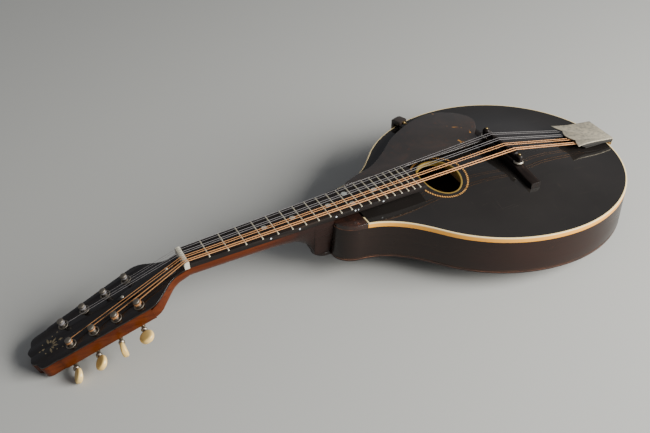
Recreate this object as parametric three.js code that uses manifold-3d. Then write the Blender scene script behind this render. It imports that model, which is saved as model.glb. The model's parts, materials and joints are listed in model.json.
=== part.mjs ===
// Mandolin: carved pear-shaped body with an oval soundhole, glued-in neck with a
// tapered peghead, eight geared tuners, movable bridge and a stamped tailpiece.
// Millimetres, +Z up, +X from the peghead to the tail, -Y is the bass side.
// The instrument lies on its back.
import * as THREE from 'three';
import { mergeVertices } from 'three/addons/utils/BufferGeometryUtils.js';
import Module from 'manifold-3d';

const wasm = await Module();
wasm.setup();

// ---------------------------------------------------------------- driving sizes
const GAP = 0.3;                 // glue line and fitting gap between pieces
const SCALE = 352.4;             // nut to twelfth fret, doubled
const FRETS = 20;

// Body frame: origin in the plane of the top's edge, at the widest part.
const WIDE = 128;                // half the body's width
const TAIL_X = 134;
const FLANK_X = 145;             // long half axis of the flank's ellipse
const FLANK_END = Math.acos(-0.8);
const BINDING_X = -177;          // the binding's corner beside the fingerboard
const SHOULDER_X = -182;
const SHOULDER_Y = 33;
const NECK_FACE_X = -206;
const NECK_FACE_Y = 14;
const RIM_DEPTH = 43.5;          // top's edge to back's edge
const RIM_WALL = 2.5;
const EDGE = 5.1;                // top plate and binding at the edge
const BACK_EDGE = 4;
const TOP_ARCH = 10.5;
const BACK_ARCH = 14;
const ARCH_REACH = 110;          // distance from the edge at which the arch is full
const BINDING_WALL = 1.5;
const HOLE = { x: -76.5, rx: 18.6, ry: 29 };
const HOLE_RING = 1.8;

// Neck frame: origin on the fingerboard's surface at the nut, +X to the body.
const NECK_ANGLE = THREE.MathUtils.degToRad(4.3);
const NECK_X = -352.4;
const NECK_Z = -2.6;
const NUT_WIDTH = 26.8;
const BOARD_WIDTH = 41.6;        // at BOARD_END
const BOARD_END = 248.5;
const BOARD = 5.5;
const NUT_LENGTH = 5;

// Peghead frame: origin on the face behind the nut, +X to the body.
const HEAD_ANGLE = THREE.MathUtils.degToRad(17.8);
const HEAD_DROP = 5.5;
const HEAD_THICK = 14.5;
const VENEER = 1.5;
const FIRST_POST = 51.3;
const POST_PITCH = 23.1;
const POST_ROW = 20;             // first post from the centre line
const POST_TAPER = Math.asin(2 / POST_PITCH);
const WORM_OFFSET = 7.3;         // worm axis from post axis
const WORM_Z = -HEAD_THICK - 3.6;
const GEAR_TEETH = 14;
const BUTTON_TURNS = [[35, 75, -30, 40], [5, 82, 30, 48]];   // degrees, treble then bass

// Lying on the back and the end of the peghead.
const REST_TILT = THREE.MathUtils.degToRad(2.704);

// Courses from bass to treble: diameter, and places at nut, bridge and tailpiece.
const COURSES = [
  { name: 'g', diameter: 1.02, nut: -10.1, bridge: -18.2, tail: -13.2 },
  { name: 'd', diameter: 0.66, nut: -3.3, bridge: -5.9, tail: -4.4 },
  { name: 'a', diameter: 0.4, nut: 3.3, bridge: 5.9, tail: 4.4 },
  { name: 'e', diameter: 0.3, nut: 10.1, bridge: 18.2, tail: 13.2 },
];
const PAIR = { nut: 1.3, bridge: 1.7, tail: 1.6 };   // half the spacing in a course
const STRING_Z = { nut: 1.4, bridge: 28, tail: 6.2 };
const BRIDGE_X = 0;
const HOOK_X = 106;

// ---------------------------------------------------------------- finishes
const FINISH = {
  black: [0x0b0a0a, 0.12, 0], rim: [0x1d100b, 0.3, 0], mahogany: [0x5a2413, 0.35, 0],
  spruce: [0xb89468, 0.8, 0], ebony: [0x14110f, 0.45, 0], cream: [0xd9c391, 0.4, 0],
  ivoroid: [0xdcc283, 0.35, 0], bone: [0xd9d0b4, 0.5, 0], steel: [0x9a9a98, 0.35, 1],
  nickel: [0xa8a59b, 0.4, 1], brass: [0x9c7a3c, 0.35, 1], bronze: [0xa8703c, 0.4, 1],
  tortoise: [0x2a100a, 0.15, 0],
};

function part(name, geometry, finish, parent) {
  const [color, roughness, metalness] = FINISH[finish];
  const mesh = new THREE.Mesh(geometry, new THREE.MeshStandardMaterial({ color, roughness, metalness }));
  mesh.name = name;
  parent.add(mesh);
  return mesh;
}

// ---------------------------------------------------------------- solid helpers
function solid(geometry) {
  const bare = new THREE.BufferGeometry();
  bare.setAttribute('position', geometry.getAttribute('position'));
  bare.setIndex(geometry.getIndex());
  const merged = mergeVertices(bare, 1e-4);
  return new wasm.Manifold(new wasm.Mesh({
    numProp: 3,
    vertProperties: new Float32Array(merged.getAttribute('position').array),
    triVerts: new Uint32Array(merged.getIndex().array),
  }));
}

function geometryOf(body) {
  const mesh = body.getMesh();
  const geometry = new THREE.BufferGeometry();
  geometry.setAttribute('position', new THREE.BufferAttribute(new Float32Array(mesh.vertProperties), 3));
  geometry.setIndex(new THREE.BufferAttribute(new Uint32Array(mesh.triVerts), 1));
  return geometry;
}

function joined(first, ...others) {
  return geometryOf(others.reduce((sum, other) => sum.add(solid(other)), solid(first)));
}

function cut(first, ...tools) {
  return geometryOf(tools.reduce((rest, tool) => rest.subtract(solid(tool)), solid(first)));
}

function box(x0, x1, y0, y1, z0, z1) {
  const geometry = new THREE.BoxGeometry(x1 - x0, y1 - y0, z1 - z0);
  return geometry.translate((x0 + x1) / 2, (y0 + y1) / 2, (z0 + z1) / 2);
}

function cylinder(radius, height, sides = 12) {
  return new THREE.CylinderGeometry(radius, radius, height, sides).rotateX(Math.PI / 2);
}

// A skin over rings of equal point counts. Open ends get flat caps.
function loft(rings, closed = false) {
  const n = rings[0].length;
  const count = rings.length;
  const positions = rings.flat().flatMap((p) => [p.x, p.y, p.z]);
  const index = [];
  const last = closed ? count : count - 1;
  for (let i = 0; i < last; i += 1) {
    const next = (i + 1) % count;
    for (let j = 0; j < n; j += 1) {
      const k = (j + 1) % n;
      index.push(i * n + j, i * n + k, next * n + k, i * n + j, next * n + k, next * n + j);
    }
  }
  for (let j = 1; j < n - 1 && !closed; j += 1) {
    const end = (count - 1) * n;
    index.push(0, j + 1, j, end, end + j, end + j + 1);
  }
  const geometry = new THREE.BufferGeometry();
  geometry.setAttribute('position', new THREE.BufferAttribute(new Float32Array(positions), 3));
  geometry.setIndex(index);
  return facingOut(geometry);
}

function facingOut(geometry) {
  const p = geometry.getAttribute('position');
  const index = geometry.getIndex().array;
  const corner = [new THREE.Vector3(), new THREE.Vector3(), new THREE.Vector3()];
  let volume = 0;
  for (let i = 0; i < index.length; i += 3) {
    corner.forEach((v, j) => v.fromBufferAttribute(p, index[i + j]));
    volume += corner[0].dot(corner[1].cross(corner[2]));
  }
  if (volume < 0) geometry.setIndex(Array.from(index).reverse());
  return geometry;
}

// A plan outline (points with x and y) extruded from z0 to z1.
function slab(points, z0, z1, holes = []) {
  const shape = new THREE.Shape(points);
  shape.holes = holes.map((hole) => new THREE.Path(hole));
  const geometry = new THREE.ExtrudeGeometry(shape, { depth: z1 - z0, bevelEnabled: false });
  return geometry.translate(0, 0, z0);
}

// A profile in the Y-Z plane extruded from x0 to x1.
function acrossX(points, x0, x1, holes = []) {
  const geometry = slab(points, x0, x1, holes);
  return geometry.applyMatrix4(new THREE.Matrix4().set(0, 0, 1, 0, 1, 0, 0, 0, 0, 1, 0, 0, 0, 0, 0, 1));
}

// A profile in the X-Z plane extruded from y0 to y1.
function acrossY(points, y0, y1) {
  const geometry = slab(points, -y1, -y0);
  return geometry.rotateX(Math.PI / 2);
}

function circle(cx, cy, radius, sides = 12) {
  return ellipse(cx, cy, radius, radius, sides);
}

function ellipse(cx, cy, rx, ry, sides) {
  const points = [];
  for (let i = 0; i < sides; i += 1) {
    const a = (2 * Math.PI * i) / sides;
    points.push(new THREE.Vector2(cx + rx * Math.cos(a), cy + ry * Math.sin(a)));
  }
  return points;
}

// ---------------------------------------------------------------- body outline
// Closed loop of the body's plan, from the neck face along the treble side to the
// tail and back along the bass side. The shoulder and both bouts are elliptical.
function bodyLoop() {
  const path = new THREE.Path();
  path.moveTo(NECK_FACE_X, NECK_FACE_Y);
  path.absellipse(SHOULDER_X, NECK_FACE_Y, SHOULDER_X - NECK_FACE_X, SHOULDER_Y - NECK_FACE_Y,
    Math.PI, Math.PI / 2, true);
  path.bezierCurveTo(-149, 36.6, -130.3, 60, FLANK_X * Math.cos(FLANK_END), WIDE * Math.sin(FLANK_END));
  path.absellipse(0, 0, FLANK_X, WIDE, FLANK_END, Math.PI / 2, true);
  path.absellipse(0, 0, TAIL_X, WIDE, Math.PI / 2, 0, true);
  const half = path.getPoints(6);
  const clean = half.filter((p, i) => i === 0 || p.distanceTo(half[i - 1]) > 0.01);
  clean[clean.length - 1].y = 0;
  const mirror = clean.slice(0, -1).reverse().map((p) => new THREE.Vector2(p.x, -p.y));
  return clean.concat(mirror);
}

const LOOP = bodyLoop();
const TAIL_INDEX = (LOOP.length - 1) / 2;

// The loop moved inwards by a constant distance.
function insetLoop(distance) {
  const n = LOOP.length;
  return LOOP.map((p, i) => {
    const before = LOOP[(i + n - 1) % n];
    const after = LOOP[(i + 1) % n];
    const tangent = after.clone().sub(p).normalize().add(p.clone().sub(before).normalize()).normalize();
    return new THREE.Vector2(p.x + tangent.y * distance, p.y - tangent.x * distance);
  });
}

function edgeDistance(x, y, loop) {
  const p = new THREE.Vector3(x, y, 0);
  const line = new THREE.Line3();
  const near = new THREE.Vector3();
  let best = Infinity;
  for (let i = 0; i < loop.length; i += 1) {
    const a = loop[i];
    const b = loop[(i + 1) % loop.length];
    line.set(new THREE.Vector3(a.x, a.y, 0), new THREE.Vector3(b.x, b.y, 0));
    line.closestPointToPoint(p, true, near);
    best = Math.min(best, near.distanceTo(p));
  }
  return best;
}

function archAt(x, y, loop, height) {
  const reach = Math.min(edgeDistance(x, y, loop) / ARCH_REACH, 1);
  return height * (0.5 - 0.5 * Math.cos(Math.PI * reach)) ** 1.2;
}

// One side's strip between two insets, over the points that keep() accepts.
function sideStrip(side, outer, inner, keep) {
  const far = insetLoop(outer);
  const near = insetLoop(inner);
  const kept = [];
  for (let i = 0; i <= TAIL_INDEX; i += 1) {
    if (keep(far[i]) && keep(near[i])) kept.push(i);
  }
  const place = (p) => new THREE.Vector2(p.x, side * Math.max(p.y, GAP / 2));
  return kept.map((i) => place(far[i])).concat(kept.reverse().map((i) => place(near[i])));
}

// ---------------------------------------------------------------- frames
const neckFrame = new THREE.Matrix4().makeRotationY(-NECK_ANGLE).setPosition(NECK_X, 0, NECK_Z);
const headFrame = neckFrame.clone().multiply(
  new THREE.Matrix4().makeRotationY(-HEAD_ANGLE).setPosition(-NUT_LENGTH, 0, -HEAD_DROP),
);
const inNeck = (x, y, z) => new THREE.Vector3(x, y, z).applyMatrix4(neckFrame);
const inHead = (x, y, z) => new THREE.Vector3(x, y, z).applyMatrix4(headFrame);

const instrument = new THREE.Group();
instrument.rotation.y = REST_TILT;
const neckGroup = new THREE.Group();
neckGroup.applyMatrix4(neckFrame);
instrument.add(neckGroup);
const headGroup = new THREE.Group();
headGroup.applyMatrix4(headFrame);
instrument.add(headGroup);

// ---------------------------------------------------------------- body
const plateLoop = insetLoop(BINDING_WALL + GAP)
  .filter((p) => p.x > BINDING_X + BINDING_WALL + GAP)
  .map((p) => p.clone());
const topArch = (x, y) => archAt(x, y, plateLoop, TOP_ARCH);
const backArch = (x, y) => archAt(x, y, LOOP, BACK_ARCH);

// The carved top is thick at its edge and thinner in the middle.
function topPlate() {
  const corner = BINDING_X + BINDING_WALL + GAP;
  const y = plateLoop[0].y;
  const front = [-0.98, -0.5, 0, 0.5, 0.98].map((k) => new THREE.Vector2(corner, k * y));
  const outline = plateLoop.concat(front);
  const rx = HOLE.rx + HOLE_RING + GAP;
  const ry = HOLE.ry + HOLE_RING + GAP;
  const stations = [0, 0.1, 0.28, 0.52, 0.76, 1];
  const sections = outline.map((p) => {
    const angle = Math.atan2(p.y, p.x - HOLE.x);
    const radius = 1 / Math.hypot(Math.cos(angle) / rx, Math.sin(angle) / ry);
    const inner = new THREE.Vector2(HOLE.x + radius * Math.cos(angle), radius * Math.sin(angle));
    const spots = stations.map((t) => p.clone().lerp(inner, t));
    const upper = spots.map((s) => new THREE.Vector3(s.x, s.y, topArch(s.x, s.y)));
    const lower = upper.map((v) => new THREE.Vector3(v.x, v.y, v.z - EDGE + v.z * 0.08));
    return upper.concat(lower.reverse());
  });
  return loft(sections, true);
}

// The carved back, with the button that covers the heel.
function backPlate() {
  const stations = [0.12, 0.32, 0.52, 0.72, 0.88, 1];
  const ring = (t, base) => LOOP.map((p) => {
    const x = p.x * t;
    const y = p.y * t;
    return new THREE.Vector3(x, y, base - backArch(x, y));
  });
  const inside = stations.map((t) => ring(t, BACK_EDGE - RIM_DEPTH));
  const outside = stations.map((t) => ring(t, -RIM_DEPTH)).reverse();
  const button = new THREE.Shape();
  button.moveTo(NECK_FACE_X + 2, -11);
  button.absarc(NECK_FACE_X - 5, 0, 11, -Math.PI / 2, Math.PI / 2, true);
  button.lineTo(NECK_FACE_X + 2, 11);
  const points = button.getPoints(8);
  return joined(loft(inside.concat(outside)), slab(points, -RIM_DEPTH + 0.02, BACK_EDGE - RIM_DEPTH - 0.02));
}

function endPinBore(radius) {
  return cylinder(radius, 40).rotateY(Math.PI / 2).translate(TAIL_X, 0, -RIM_DEPTH / 2);
}

function rim(side) {
  const strip = sideStrip(side, 0, RIM_WALL, () => true);
  return cut(slab(strip, BACK_EDGE - RIM_DEPTH + GAP, -EDGE - GAP), endPinBore(4.6));
}

function lining(side, z0, z1) {
  const tailBlockY = 30;
  const clear = (p) => p.x > -148 && (p.x < 60 || p.y > tailBlockY);
  return slab(sideStrip(side, RIM_WALL + GAP, RIM_WALL + 6, clear), z0, z1);
}

// Dovetail of the neck, seen from the front face of the body, opening upwards.
function dovetail(grow, top) {
  const x0 = NECK_FACE_X - 1;
  const x1 = NECK_FACE_X + 18 + grow;
  const points = [[x0, 7], [x1, 10], [x1, -10], [x0, -7]];
  const plan = points.map(([x, y]) => new THREE.Vector2(x, y + Math.sign(y) * grow));
  return slab(plan, -28 - grow, top);
}

// The body's nose back to a limit in x, as a slab of the inset outline.
function noseSlab(inset, limit, z0, z1) {
  const points = insetLoop(inset).filter((p) => p.x < limit);
  const bassSide = points.filter((p) => p.y < 0);
  const trebleSide = points.filter((p) => p.y > 0);
  const y = trebleSide[trebleSide.length - 1].y;
  const corners = [new THREE.Vector2(limit, y), new THREE.Vector2(limit, -y)];
  return slab(bassSide.concat(trebleSide, corners), z0, z1);
}

// Neck block inside the rims, with the visible shoulder cap in front of the binding.
function headBlock() {
  const block = noseSlab(RIM_WALL + GAP, -152, BACK_EDGE - RIM_DEPTH + GAP, -EDGE - GAP);
  const pad = noseSlab(RIM_WALL + GAP, BINDING_X - GAP, -EDGE - 1, -1);
  const cap = noseSlab(0.1, BINDING_X - GAP, -EDGE, 0);
  return cut(joined(block, pad, cap), dovetail(GAP, 5));
}

function tailBlock() {
  const curve = insetLoop(RIM_WALL + GAP).filter((p) => p.x > 60 && Math.abs(p.y) < 29);
  const front = 112;
  const plan = curve.concat([
    new THREE.Vector2(front, curve[curve.length - 1].y),
    new THREE.Vector2(front, curve[0].y),
  ]);
  return cut(slab(plan, BACK_EDGE - RIM_DEPTH + GAP, -EDGE - GAP), endPinBore(4.6));
}

function crossBrace() {
  const x = -42;
  const upper = [];
  for (let y = -78; y <= 78; y += 13) {
    const roof = topArch(x, y) * 1.08 - EDGE - 1;
    upper.push(new THREE.Vector2(y, roof));
  }
  const depth = (y) => -13 + 5 * (Math.abs(y) / 78) ** 3;
  const lower = upper.map((p) => new THREE.Vector2(p.x, depth(p.x))).reverse();
  return acrossX(upper.concat(lower), x - 4, x + 4);
}

function topBinding() {
  const leg = 21.5;
  const keep = (p) => p.x > BINDING_X + BINDING_WALL;
  const outer = LOOP.filter(keep);
  const inner = insetLoop(BINDING_WALL).filter(keep);
  const last = (list) => list[list.length - 1].y;
  const plan = outer.concat([
    new THREE.Vector2(BINDING_X, last(outer)),
    new THREE.Vector2(BINDING_X, -leg),
    new THREE.Vector2(BINDING_X + BINDING_WALL, -leg),
    new THREE.Vector2(BINDING_X + BINDING_WALL, last(inner)),
  ], inner.reverse(), [
    new THREE.Vector2(BINDING_X + BINDING_WALL, inner[inner.length - 1].y),
    new THREE.Vector2(BINDING_X + BINDING_WALL, leg),
    new THREE.Vector2(BINDING_X, leg),
    new THREE.Vector2(BINDING_X, outer[0].y),
  ]);
  return slab(plan, -EDGE, 0);
}

// Edge strip of the soundhole, following the arch.
function holeBinding() {
  const sides = 36;
  const sections = [];
  for (let i = 0; i < sides; i += 1) {
    const a = (2 * Math.PI * i) / sides;
    const spot = (grow, z) => {
      const x = HOLE.x + (HOLE.rx + grow) * Math.cos(a);
      const y = (HOLE.ry + grow) * Math.sin(a);
      return new THREE.Vector3(x, y, topArch(x, y) + z);
    };
    sections.push([spot(0, 0), spot(HOLE_RING - 0.2, 0), spot(HOLE_RING - 0.2, -EDGE), spot(0, -EDGE)]);
  }
  return loft(sections, true);
}

// ---------------------------------------------------------------- neck and peghead
const boardHalf = (x) => (NUT_WIDTH + (BOARD_WIDTH - NUT_WIDTH) * (x / BOARD_END)) / 2;

// The peghead's plan, with a scalloped end.
function headPlan() {
  const shape = new THREE.Shape();
  const half = (sign) => {
    const path = new THREE.Path();
    path.moveTo(0, sign * 13.2);
    path.lineTo(-6, sign * 13);
    path.bezierCurveTo(-22, sign * 13, -28, sign * 31, -44, sign * 31);
    path.lineTo(-132.5, sign * 23.2);
    path.quadraticCurveTo(-135, sign * 22.9, -136.5, sign * 21.8);
    path.lineTo(-147, sign * 21.4);
    path.quadraticCurveTo(-153.5, sign * 20.8, -154.4, sign * 16);
    path.lineTo(-155.4, sign * 12);
    path.quadraticCurveTo(-161, sign * 8.5, -159.6, sign * 4.6);
    path.quadraticCurveTo(-159, sign, -157.4, 0);
    return path.getPoints(5);
  };
  const bass = half(-1);
  const treble = half(1).reverse().slice(1);
  shape.setFromPoints(bass.concat(treble));
  return shape.getPoints();
}

const postPlace = (side, k) => new THREE.Vector2(
  -FIRST_POST - k * POST_PITCH * Math.cos(POST_TAPER),
  side * (POST_ROW - k * POST_PITCH * Math.sin(POST_TAPER)),
);

const coverScrews = [-14.2, -61];

// Holes through the peghead for the posts and the cover's screws.
function faceHoles(radius) {
  const holes = coverScrews.map((x) => circle(x, 0, 1.4, 8));
  for (const side of [1, -1]) {
    for (let k = 0; k < 4; k += 1) {
      const p = postPlace(side, k);
      holes.push(circle(p.x, p.y, radius, 10));
    }
  }
  return holes;
}

const rodZ = -13.2;
const pocket = { length: 12.4, half: 5, depth: 11 };
const pocketPlan = [[-2, -pocket.half], [-2, pocket.half], [-pocket.length, pocket.half],
  [-pocket.length, -pocket.half]].map(([x, y]) => new THREE.Vector2(x, y));

// Throat of the peghead, shaft and heel as one loft from the peghead to the body.
// Each row: distance, half width, depth below the board, and roundness of the section.
const throat = [[-36, 29.4, 12.7, 0.3], [-33.6, 28.1, 12.7, 0.34], [-25, 21.9, 12.7, 0.42],
  [-16.4, 15.7, 12.9, 0.55], [-8, 13, 13.6, 0.7]];
const shaft = [[0, 14.4], [30, 14.5], [60, 14.8], [85, 15.6], [100, 17.4], [110, 20.2], [118, 25],
  [123, 30.5], [126, 37], [128.5, 43], [150, 47]];

function sectionRing(frame, x, half, roof, depth, bend) {
  const sides = 12;
  const ring = [];
  for (let j = 0; j <= sides; j += 1) {
    const a = (Math.PI * j) / sides;
    const y = half * Math.sign(Math.cos(a)) * Math.abs(Math.cos(a)) ** Math.min(bend + 0.3, 1);
    ring.push(new THREE.Vector3(x, y, roof - depth * Math.sin(a) ** bend).applyMatrix4(frame));
  }
  return ring;
}

function neck() {
  const throatRings = throat.map(([x, half, depth, bend]) => (
    sectionRing(headFrame, x, half, -VENEER - GAP, depth, bend)));
  const shaftRings = shaft.map(([x, depth]) => (
    sectionRing(neckFrame, x, boardHalf(x) - 0.1, -BOARD - GAP, depth, 0.75)));
  const wholeCore = slab(headPlan(), -HEAD_THICK, -VENEER - GAP, faceHoles(3.6));
  const core = cut(wholeCore, box(-34.6, 1, -40, 40, -20, 1)).applyMatrix4(headFrame);
  const tongueEnd = BOARD_END - 7;
  const tongue = acrossY([
    [NECK_FACE_X - 2, 0.4], [BINDING_X, 0.4], [-150, 2.9], [NECK_X + tongueEnd, 6.4],
    [NECK_X + tongueEnd, inNeck(tongueEnd, 0, -BOARD - GAP).z],
    [NECK_FACE_X - 2, inNeck(SCALE + NECK_FACE_X - 2, 0, -BOARD - GAP).z],
  ].map(([x, z]) => new THREE.Vector2(x, z)), -18, 18);
  const shaftPiece = cut(
    loft(throatRings.concat(shaftRings)),
    box(NECK_FACE_X - GAP, 0, -60, 60, -90, 60),
    box(-260, 0, -60, 60, -90, BACK_EDGE - RIM_DEPTH + GAP),
  );
  const rodSlot = box(-16, 122, -2.9, 2.9, rodZ - 2.7, -BOARD + 1).applyMatrix4(neckFrame);
  const nutPocket = slab(pocketPlan, -pocket.depth, 1).applyMatrix4(headFrame);
  const nutBed = box(-NUT_LENGTH - 2, 0, -20, 20, -BOARD, 8).applyMatrix4(neckFrame);
  const screwHoles = coverScrews.map((x) => cylinder(1.4, 20, 8).translate(x, 0, 0).applyMatrix4(headFrame));
  const whole = joined(shaftPiece, core, tongue, dovetail(0, 1));
  return cut(whole, rodSlot, nutPocket, nutBed, ...screwHoles);
}

const fretPlace = (n) => SCALE * (1 - 2 ** (-n / 12));

function fingerboard() {
  const plan = [[0, -1], [0, 1], [BOARD_END, 1], [BOARD_END, -1]]
    .map(([x, s]) => new THREE.Vector2(x, s * boardHalf(x)));
  const frets = [];
  for (let n = 1; n <= FRETS; n += 1) {
    const x = fretPlace(n);
    const half = boardHalf(x) - 0.2;
    const profile = [[x - 1, -0.5], [x + 1, -0.5], [x + 0.6, 0.95], [x - 0.6, 0.95]];
    frets.push(acrossY(profile.map(([px, pz]) => new THREE.Vector2(px, pz)), -half, half));
  }
  return joined(slab(plan, -BOARD, 0), ...frets);
}

function nutPiece() {
  const half = NUT_WIDTH / 2 + 0.2;
  const back = -NUT_LENGTH + 0.2;
  const profile = [[back, -BOARD + GAP], [-GAP, -BOARD + GAP], [-GAP, 1.2], [back, 0.4]];
  return acrossY(profile.map(([x, z]) => new THREE.Vector2(x, z)), -half, half);
}

function veneer() {
  const plan = headPlan().map((p) => new THREE.Vector2(Math.min(p.x, -0.6), p.y));
  return cut(slab(plan, -VENEER, 0, faceHoles(4.4)), slab(pocketPlan, -VENEER - 1, 1));
}

// Bell-shaped cover over the truss rod's adjusting nut.
function rodCover() {
  const shape = new THREE.Shape();
  shape.moveTo(-8, -10);
  shape.quadraticCurveTo(-6, 0, -8, 10);
  shape.bezierCurveTo(-20, 12, -26, 7, -38, 6.5);
  shape.bezierCurveTo(-50, 6.5, -60, 6, -67, 0);
  shape.bezierCurveTo(-60, -6, -50, -6.5, -38, -6.5);
  shape.bezierCurveTo(-26, -7, -20, -12, -8, -10);
  const points = shape.getPoints(5).slice(0, -1);
  return slab(points, GAP, 2.2, coverScrews.map((x) => circle(x, 0, 1.3, 8)));
}

function coverScrew() {
  return new THREE.LatheGeometry([[0, -6], [1, -5.5], [1, 2.3], [2.4, 2.4], [1.9, 3.2], [0, 3.5]]
    .map(([r, z]) => new THREE.Vector2(r, z)), 8).rotateX(Math.PI / 2);
}

// ---------------------------------------------------------------- tuners
const SHAFT = 1.5;
const buttonCentre = 21.4;
const buttonRadius = 7.1;

// Worm, shaft, collar and flat oval button, along +Y.
function tunerKey(turn) {
  const rounds = [[-6.9, SHAFT], [-4.3, SHAFT], [-4.3, 1.9], [4.3, 1.9], [4.3, SHAFT], [10.6, SHAFT],
    [10.6, 3], [12.8, 3], [12.8, 1.8]];
  const stations = rounds.map(([y, r]) => [y, r, r]);
  for (const k of [-0.96, -0.75, -0.35, 0.15, 0.6, 0.9, 0.99]) {
    const y = buttonCentre + k * buttonRadius;
    stations.push([y, buttonRadius * Math.sqrt(1 - k * k), 1.7 + 0.5 * (k + 1)]);
  }
  const sides = 8;
  const rings = stations.map(([y, rx, rz]) => {
    const ring = [];
    for (let j = 0; j < sides; j += 1) {
      const a = (2 * Math.PI * (j + 0.5)) / sides;
      ring.push(new THREE.Vector3(rx * Math.cos(a), y, rz * Math.sin(a)));
    }
    return ring;
  });
  return loft(rings).rotateY(THREE.MathUtils.degToRad(turn));
}

// String post with its gear below the plate and a domed cap above the peghead.
function stringPost() {
  const profile = [[0, -21.6], [2.4, -21], [2.4, -18], [2.9, -18], [2.9, 6], [3.6, 6.8], [2.8, 8.3],
    [0, 8.8]].map(([r, z]) => new THREE.Vector2(r, z));
  const post = new THREE.LatheGeometry(profile, 10).rotateX(Math.PI / 2);
  const teeth = [];
  for (let i = 0; i < GEAR_TEETH; i += 1) {
    const a = (2 * Math.PI * i) / GEAR_TEETH;
    const b = (2 * Math.PI * (i + 0.5)) / GEAR_TEETH;
    teeth.push(new THREE.Vector2(5.05 * Math.cos(a), 5.05 * Math.sin(a)));
    teeth.push(new THREE.Vector2(4.3 * Math.cos(b), 4.3 * Math.sin(b)));
  }
  return joined(post, slab(teeth, WORM_Z - 1.4, WORM_Z + 1.4));
}

// Plate with two bearing ears for each worm shaft, drawn for its own side.
function tunerPlate(side) {
  const z1 = -HEAD_THICK - GAP;
  const z0 = z1 - 0.9;
  const holes = [0, 1, 2, 3].map((k) => circle(-k * POST_PITCH, 0, 3.5, 10));
  const plan = [[9, -6.5], [9, 6.5], [-88, 6.5], [-88, -6.5]].map(([x, y]) => new THREE.Vector2(x, y));
  const ears = [];
  for (let k = 0; k < 4; k += 1) {
    const x = -k * POST_PITCH - WORM_OFFSET;
    const low = WORM_Z - 2.6;
    const profile = [[x - 2.9, z1 - 0.2], [x + 2.9, z1 - 0.2], [x + 2.4, low], [x - 2.4, low]];
    const shape = profile.map(([px, pz]) => new THREE.Vector2(px, pz));
    const hole = circle(x, WORM_Z, 1.8, 8);
    for (const y of [5.6, -5.6]) {
      const ear = slab(shape, -0.8, 0.8, [hole]).rotateX(Math.PI / 2).translate(0, side * y, 0);
      ears.push(ear);
    }
  }
  return joined(slab(plan, z0, z1, holes), ...ears);
}

function addTuners() {
  for (const [bank, side, courses] of [['treble', 1, ['e', 'a']], ['bass', -1, ['g', 'd']]]) {
    const group = new THREE.Group();
    const first = postPlace(side, 0);
    group.position.set(first.x, first.y, 0);
    group.rotation.z = side * POST_TAPER;
    headGroup.add(group);
    part(`tuner_plate_${bank}`, tunerPlate(side), 'nickel', group);
    for (let k = 0; k < 4; k += 1) {
      const name = `${courses[Math.floor(k / 2)]}${(k % 2) + 1}`;
      part(`string_post_${name}`, stringPost(), 'steel', group).position.x = -k * POST_PITCH;
      const turn = BUTTON_TURNS[side > 0 ? 0 : 1][k];
      const key = part(`tuner_key_${name}`, tunerKey(turn), 'ivoroid', group);
      key.position.set(-k * POST_PITCH - WORM_OFFSET, 0, WORM_Z);
      key.rotation.z = side > 0 ? 0 : Math.PI;
    }
  }
}

// ---------------------------------------------------------------- bridge
const wheelY = 29;
const bridgeLevels = { baseTop: 17, wheelBottom: 18.3, wheelTop: 20.4, saddleBottom: 20.7, saddleTop: 27.4 };

function bridgeBase() {
  const half = 61;
  const lower = [];
  for (let i = -10; i <= 10; i += 1) {
    const y = (half * i) / 10;
    const lift = Math.abs(y) < 18 ? 1.8 : 0;
    lower.push(new THREE.Vector2(y, topArch(0, y) + 0.35 + lift));
  }
  const foot = [[33.5, bridgeLevels.baseTop], [37, 15.4], [50, 13.6], [half, 12.4]];
  const upper = foot.map(([y, z]) => new THREE.Vector2(y, z)).reverse()
    .concat(foot.map(([y, z]) => new THREE.Vector2(-y, z)));
  const bores = [1, -1].map((s) => cylinder(2.2, 10).translate(0, s * wheelY, bridgeLevels.baseTop));
  return cut(acrossX(lower.concat(upper), -6, 6), ...bores);
}

function saddle() {
  const { saddleBottom: low, saddleTop: high } = bridgeLevels;
  const shape = new THREE.Shape();
  shape.moveTo(-33, low);
  shape.lineTo(33, low);
  shape.lineTo(wheelY + 3.8, high - 2.4);
  shape.quadraticCurveTo(wheelY + 3.6, high + 1.1, wheelY, high + 1.2);
  shape.quadraticCurveTo(wheelY - 3.4, high + 1.1, wheelY - 3.8, high - 1.2);
  shape.lineTo(24, high);
  shape.lineTo(-24, high);
  shape.lineTo(-wheelY + 3.8, high - 1.2);
  shape.quadraticCurveTo(-wheelY + 3.4, high + 1.1, -wheelY, high + 1.2);
  shape.quadraticCurveTo(-wheelY - 3.6, high + 1.1, -wheelY - 3.8, high - 2.4);
  shape.lineTo(-33, low);
  const points = shape.getPoints(5).slice(0, -1);
  const bores = [1, -1].map((s) => cylinder(2.2, 20).translate(0, s * wheelY, low));
  const bevelProfile = [[1.1, high + 0.1], [3.6, high - 3], [3.6, high + 0.1]];
  const bevels = [1, -1].map((s) => (
    acrossY(bevelProfile.map(([x, z]) => new THREE.Vector2(s * x, z)), -24, 24)));
  return cut(acrossX(points, -3.4, 3.4), ...bores, ...bevels);
}

function thumbwheel() {
  const { wheelBottom: z0, wheelTop: z1 } = bridgeLevels;
  const ring = [[2.2, z0], [4.6, z0], [5, z0 + 0.5], [5, z1 - 0.5], [4.6, z1], [2.2, z1], [2.2, z0]];
  return new THREE.LatheGeometry(ring.map(([r, z]) => new THREE.Vector2(r, z)), 16).rotateX(Math.PI / 2);
}

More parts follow.
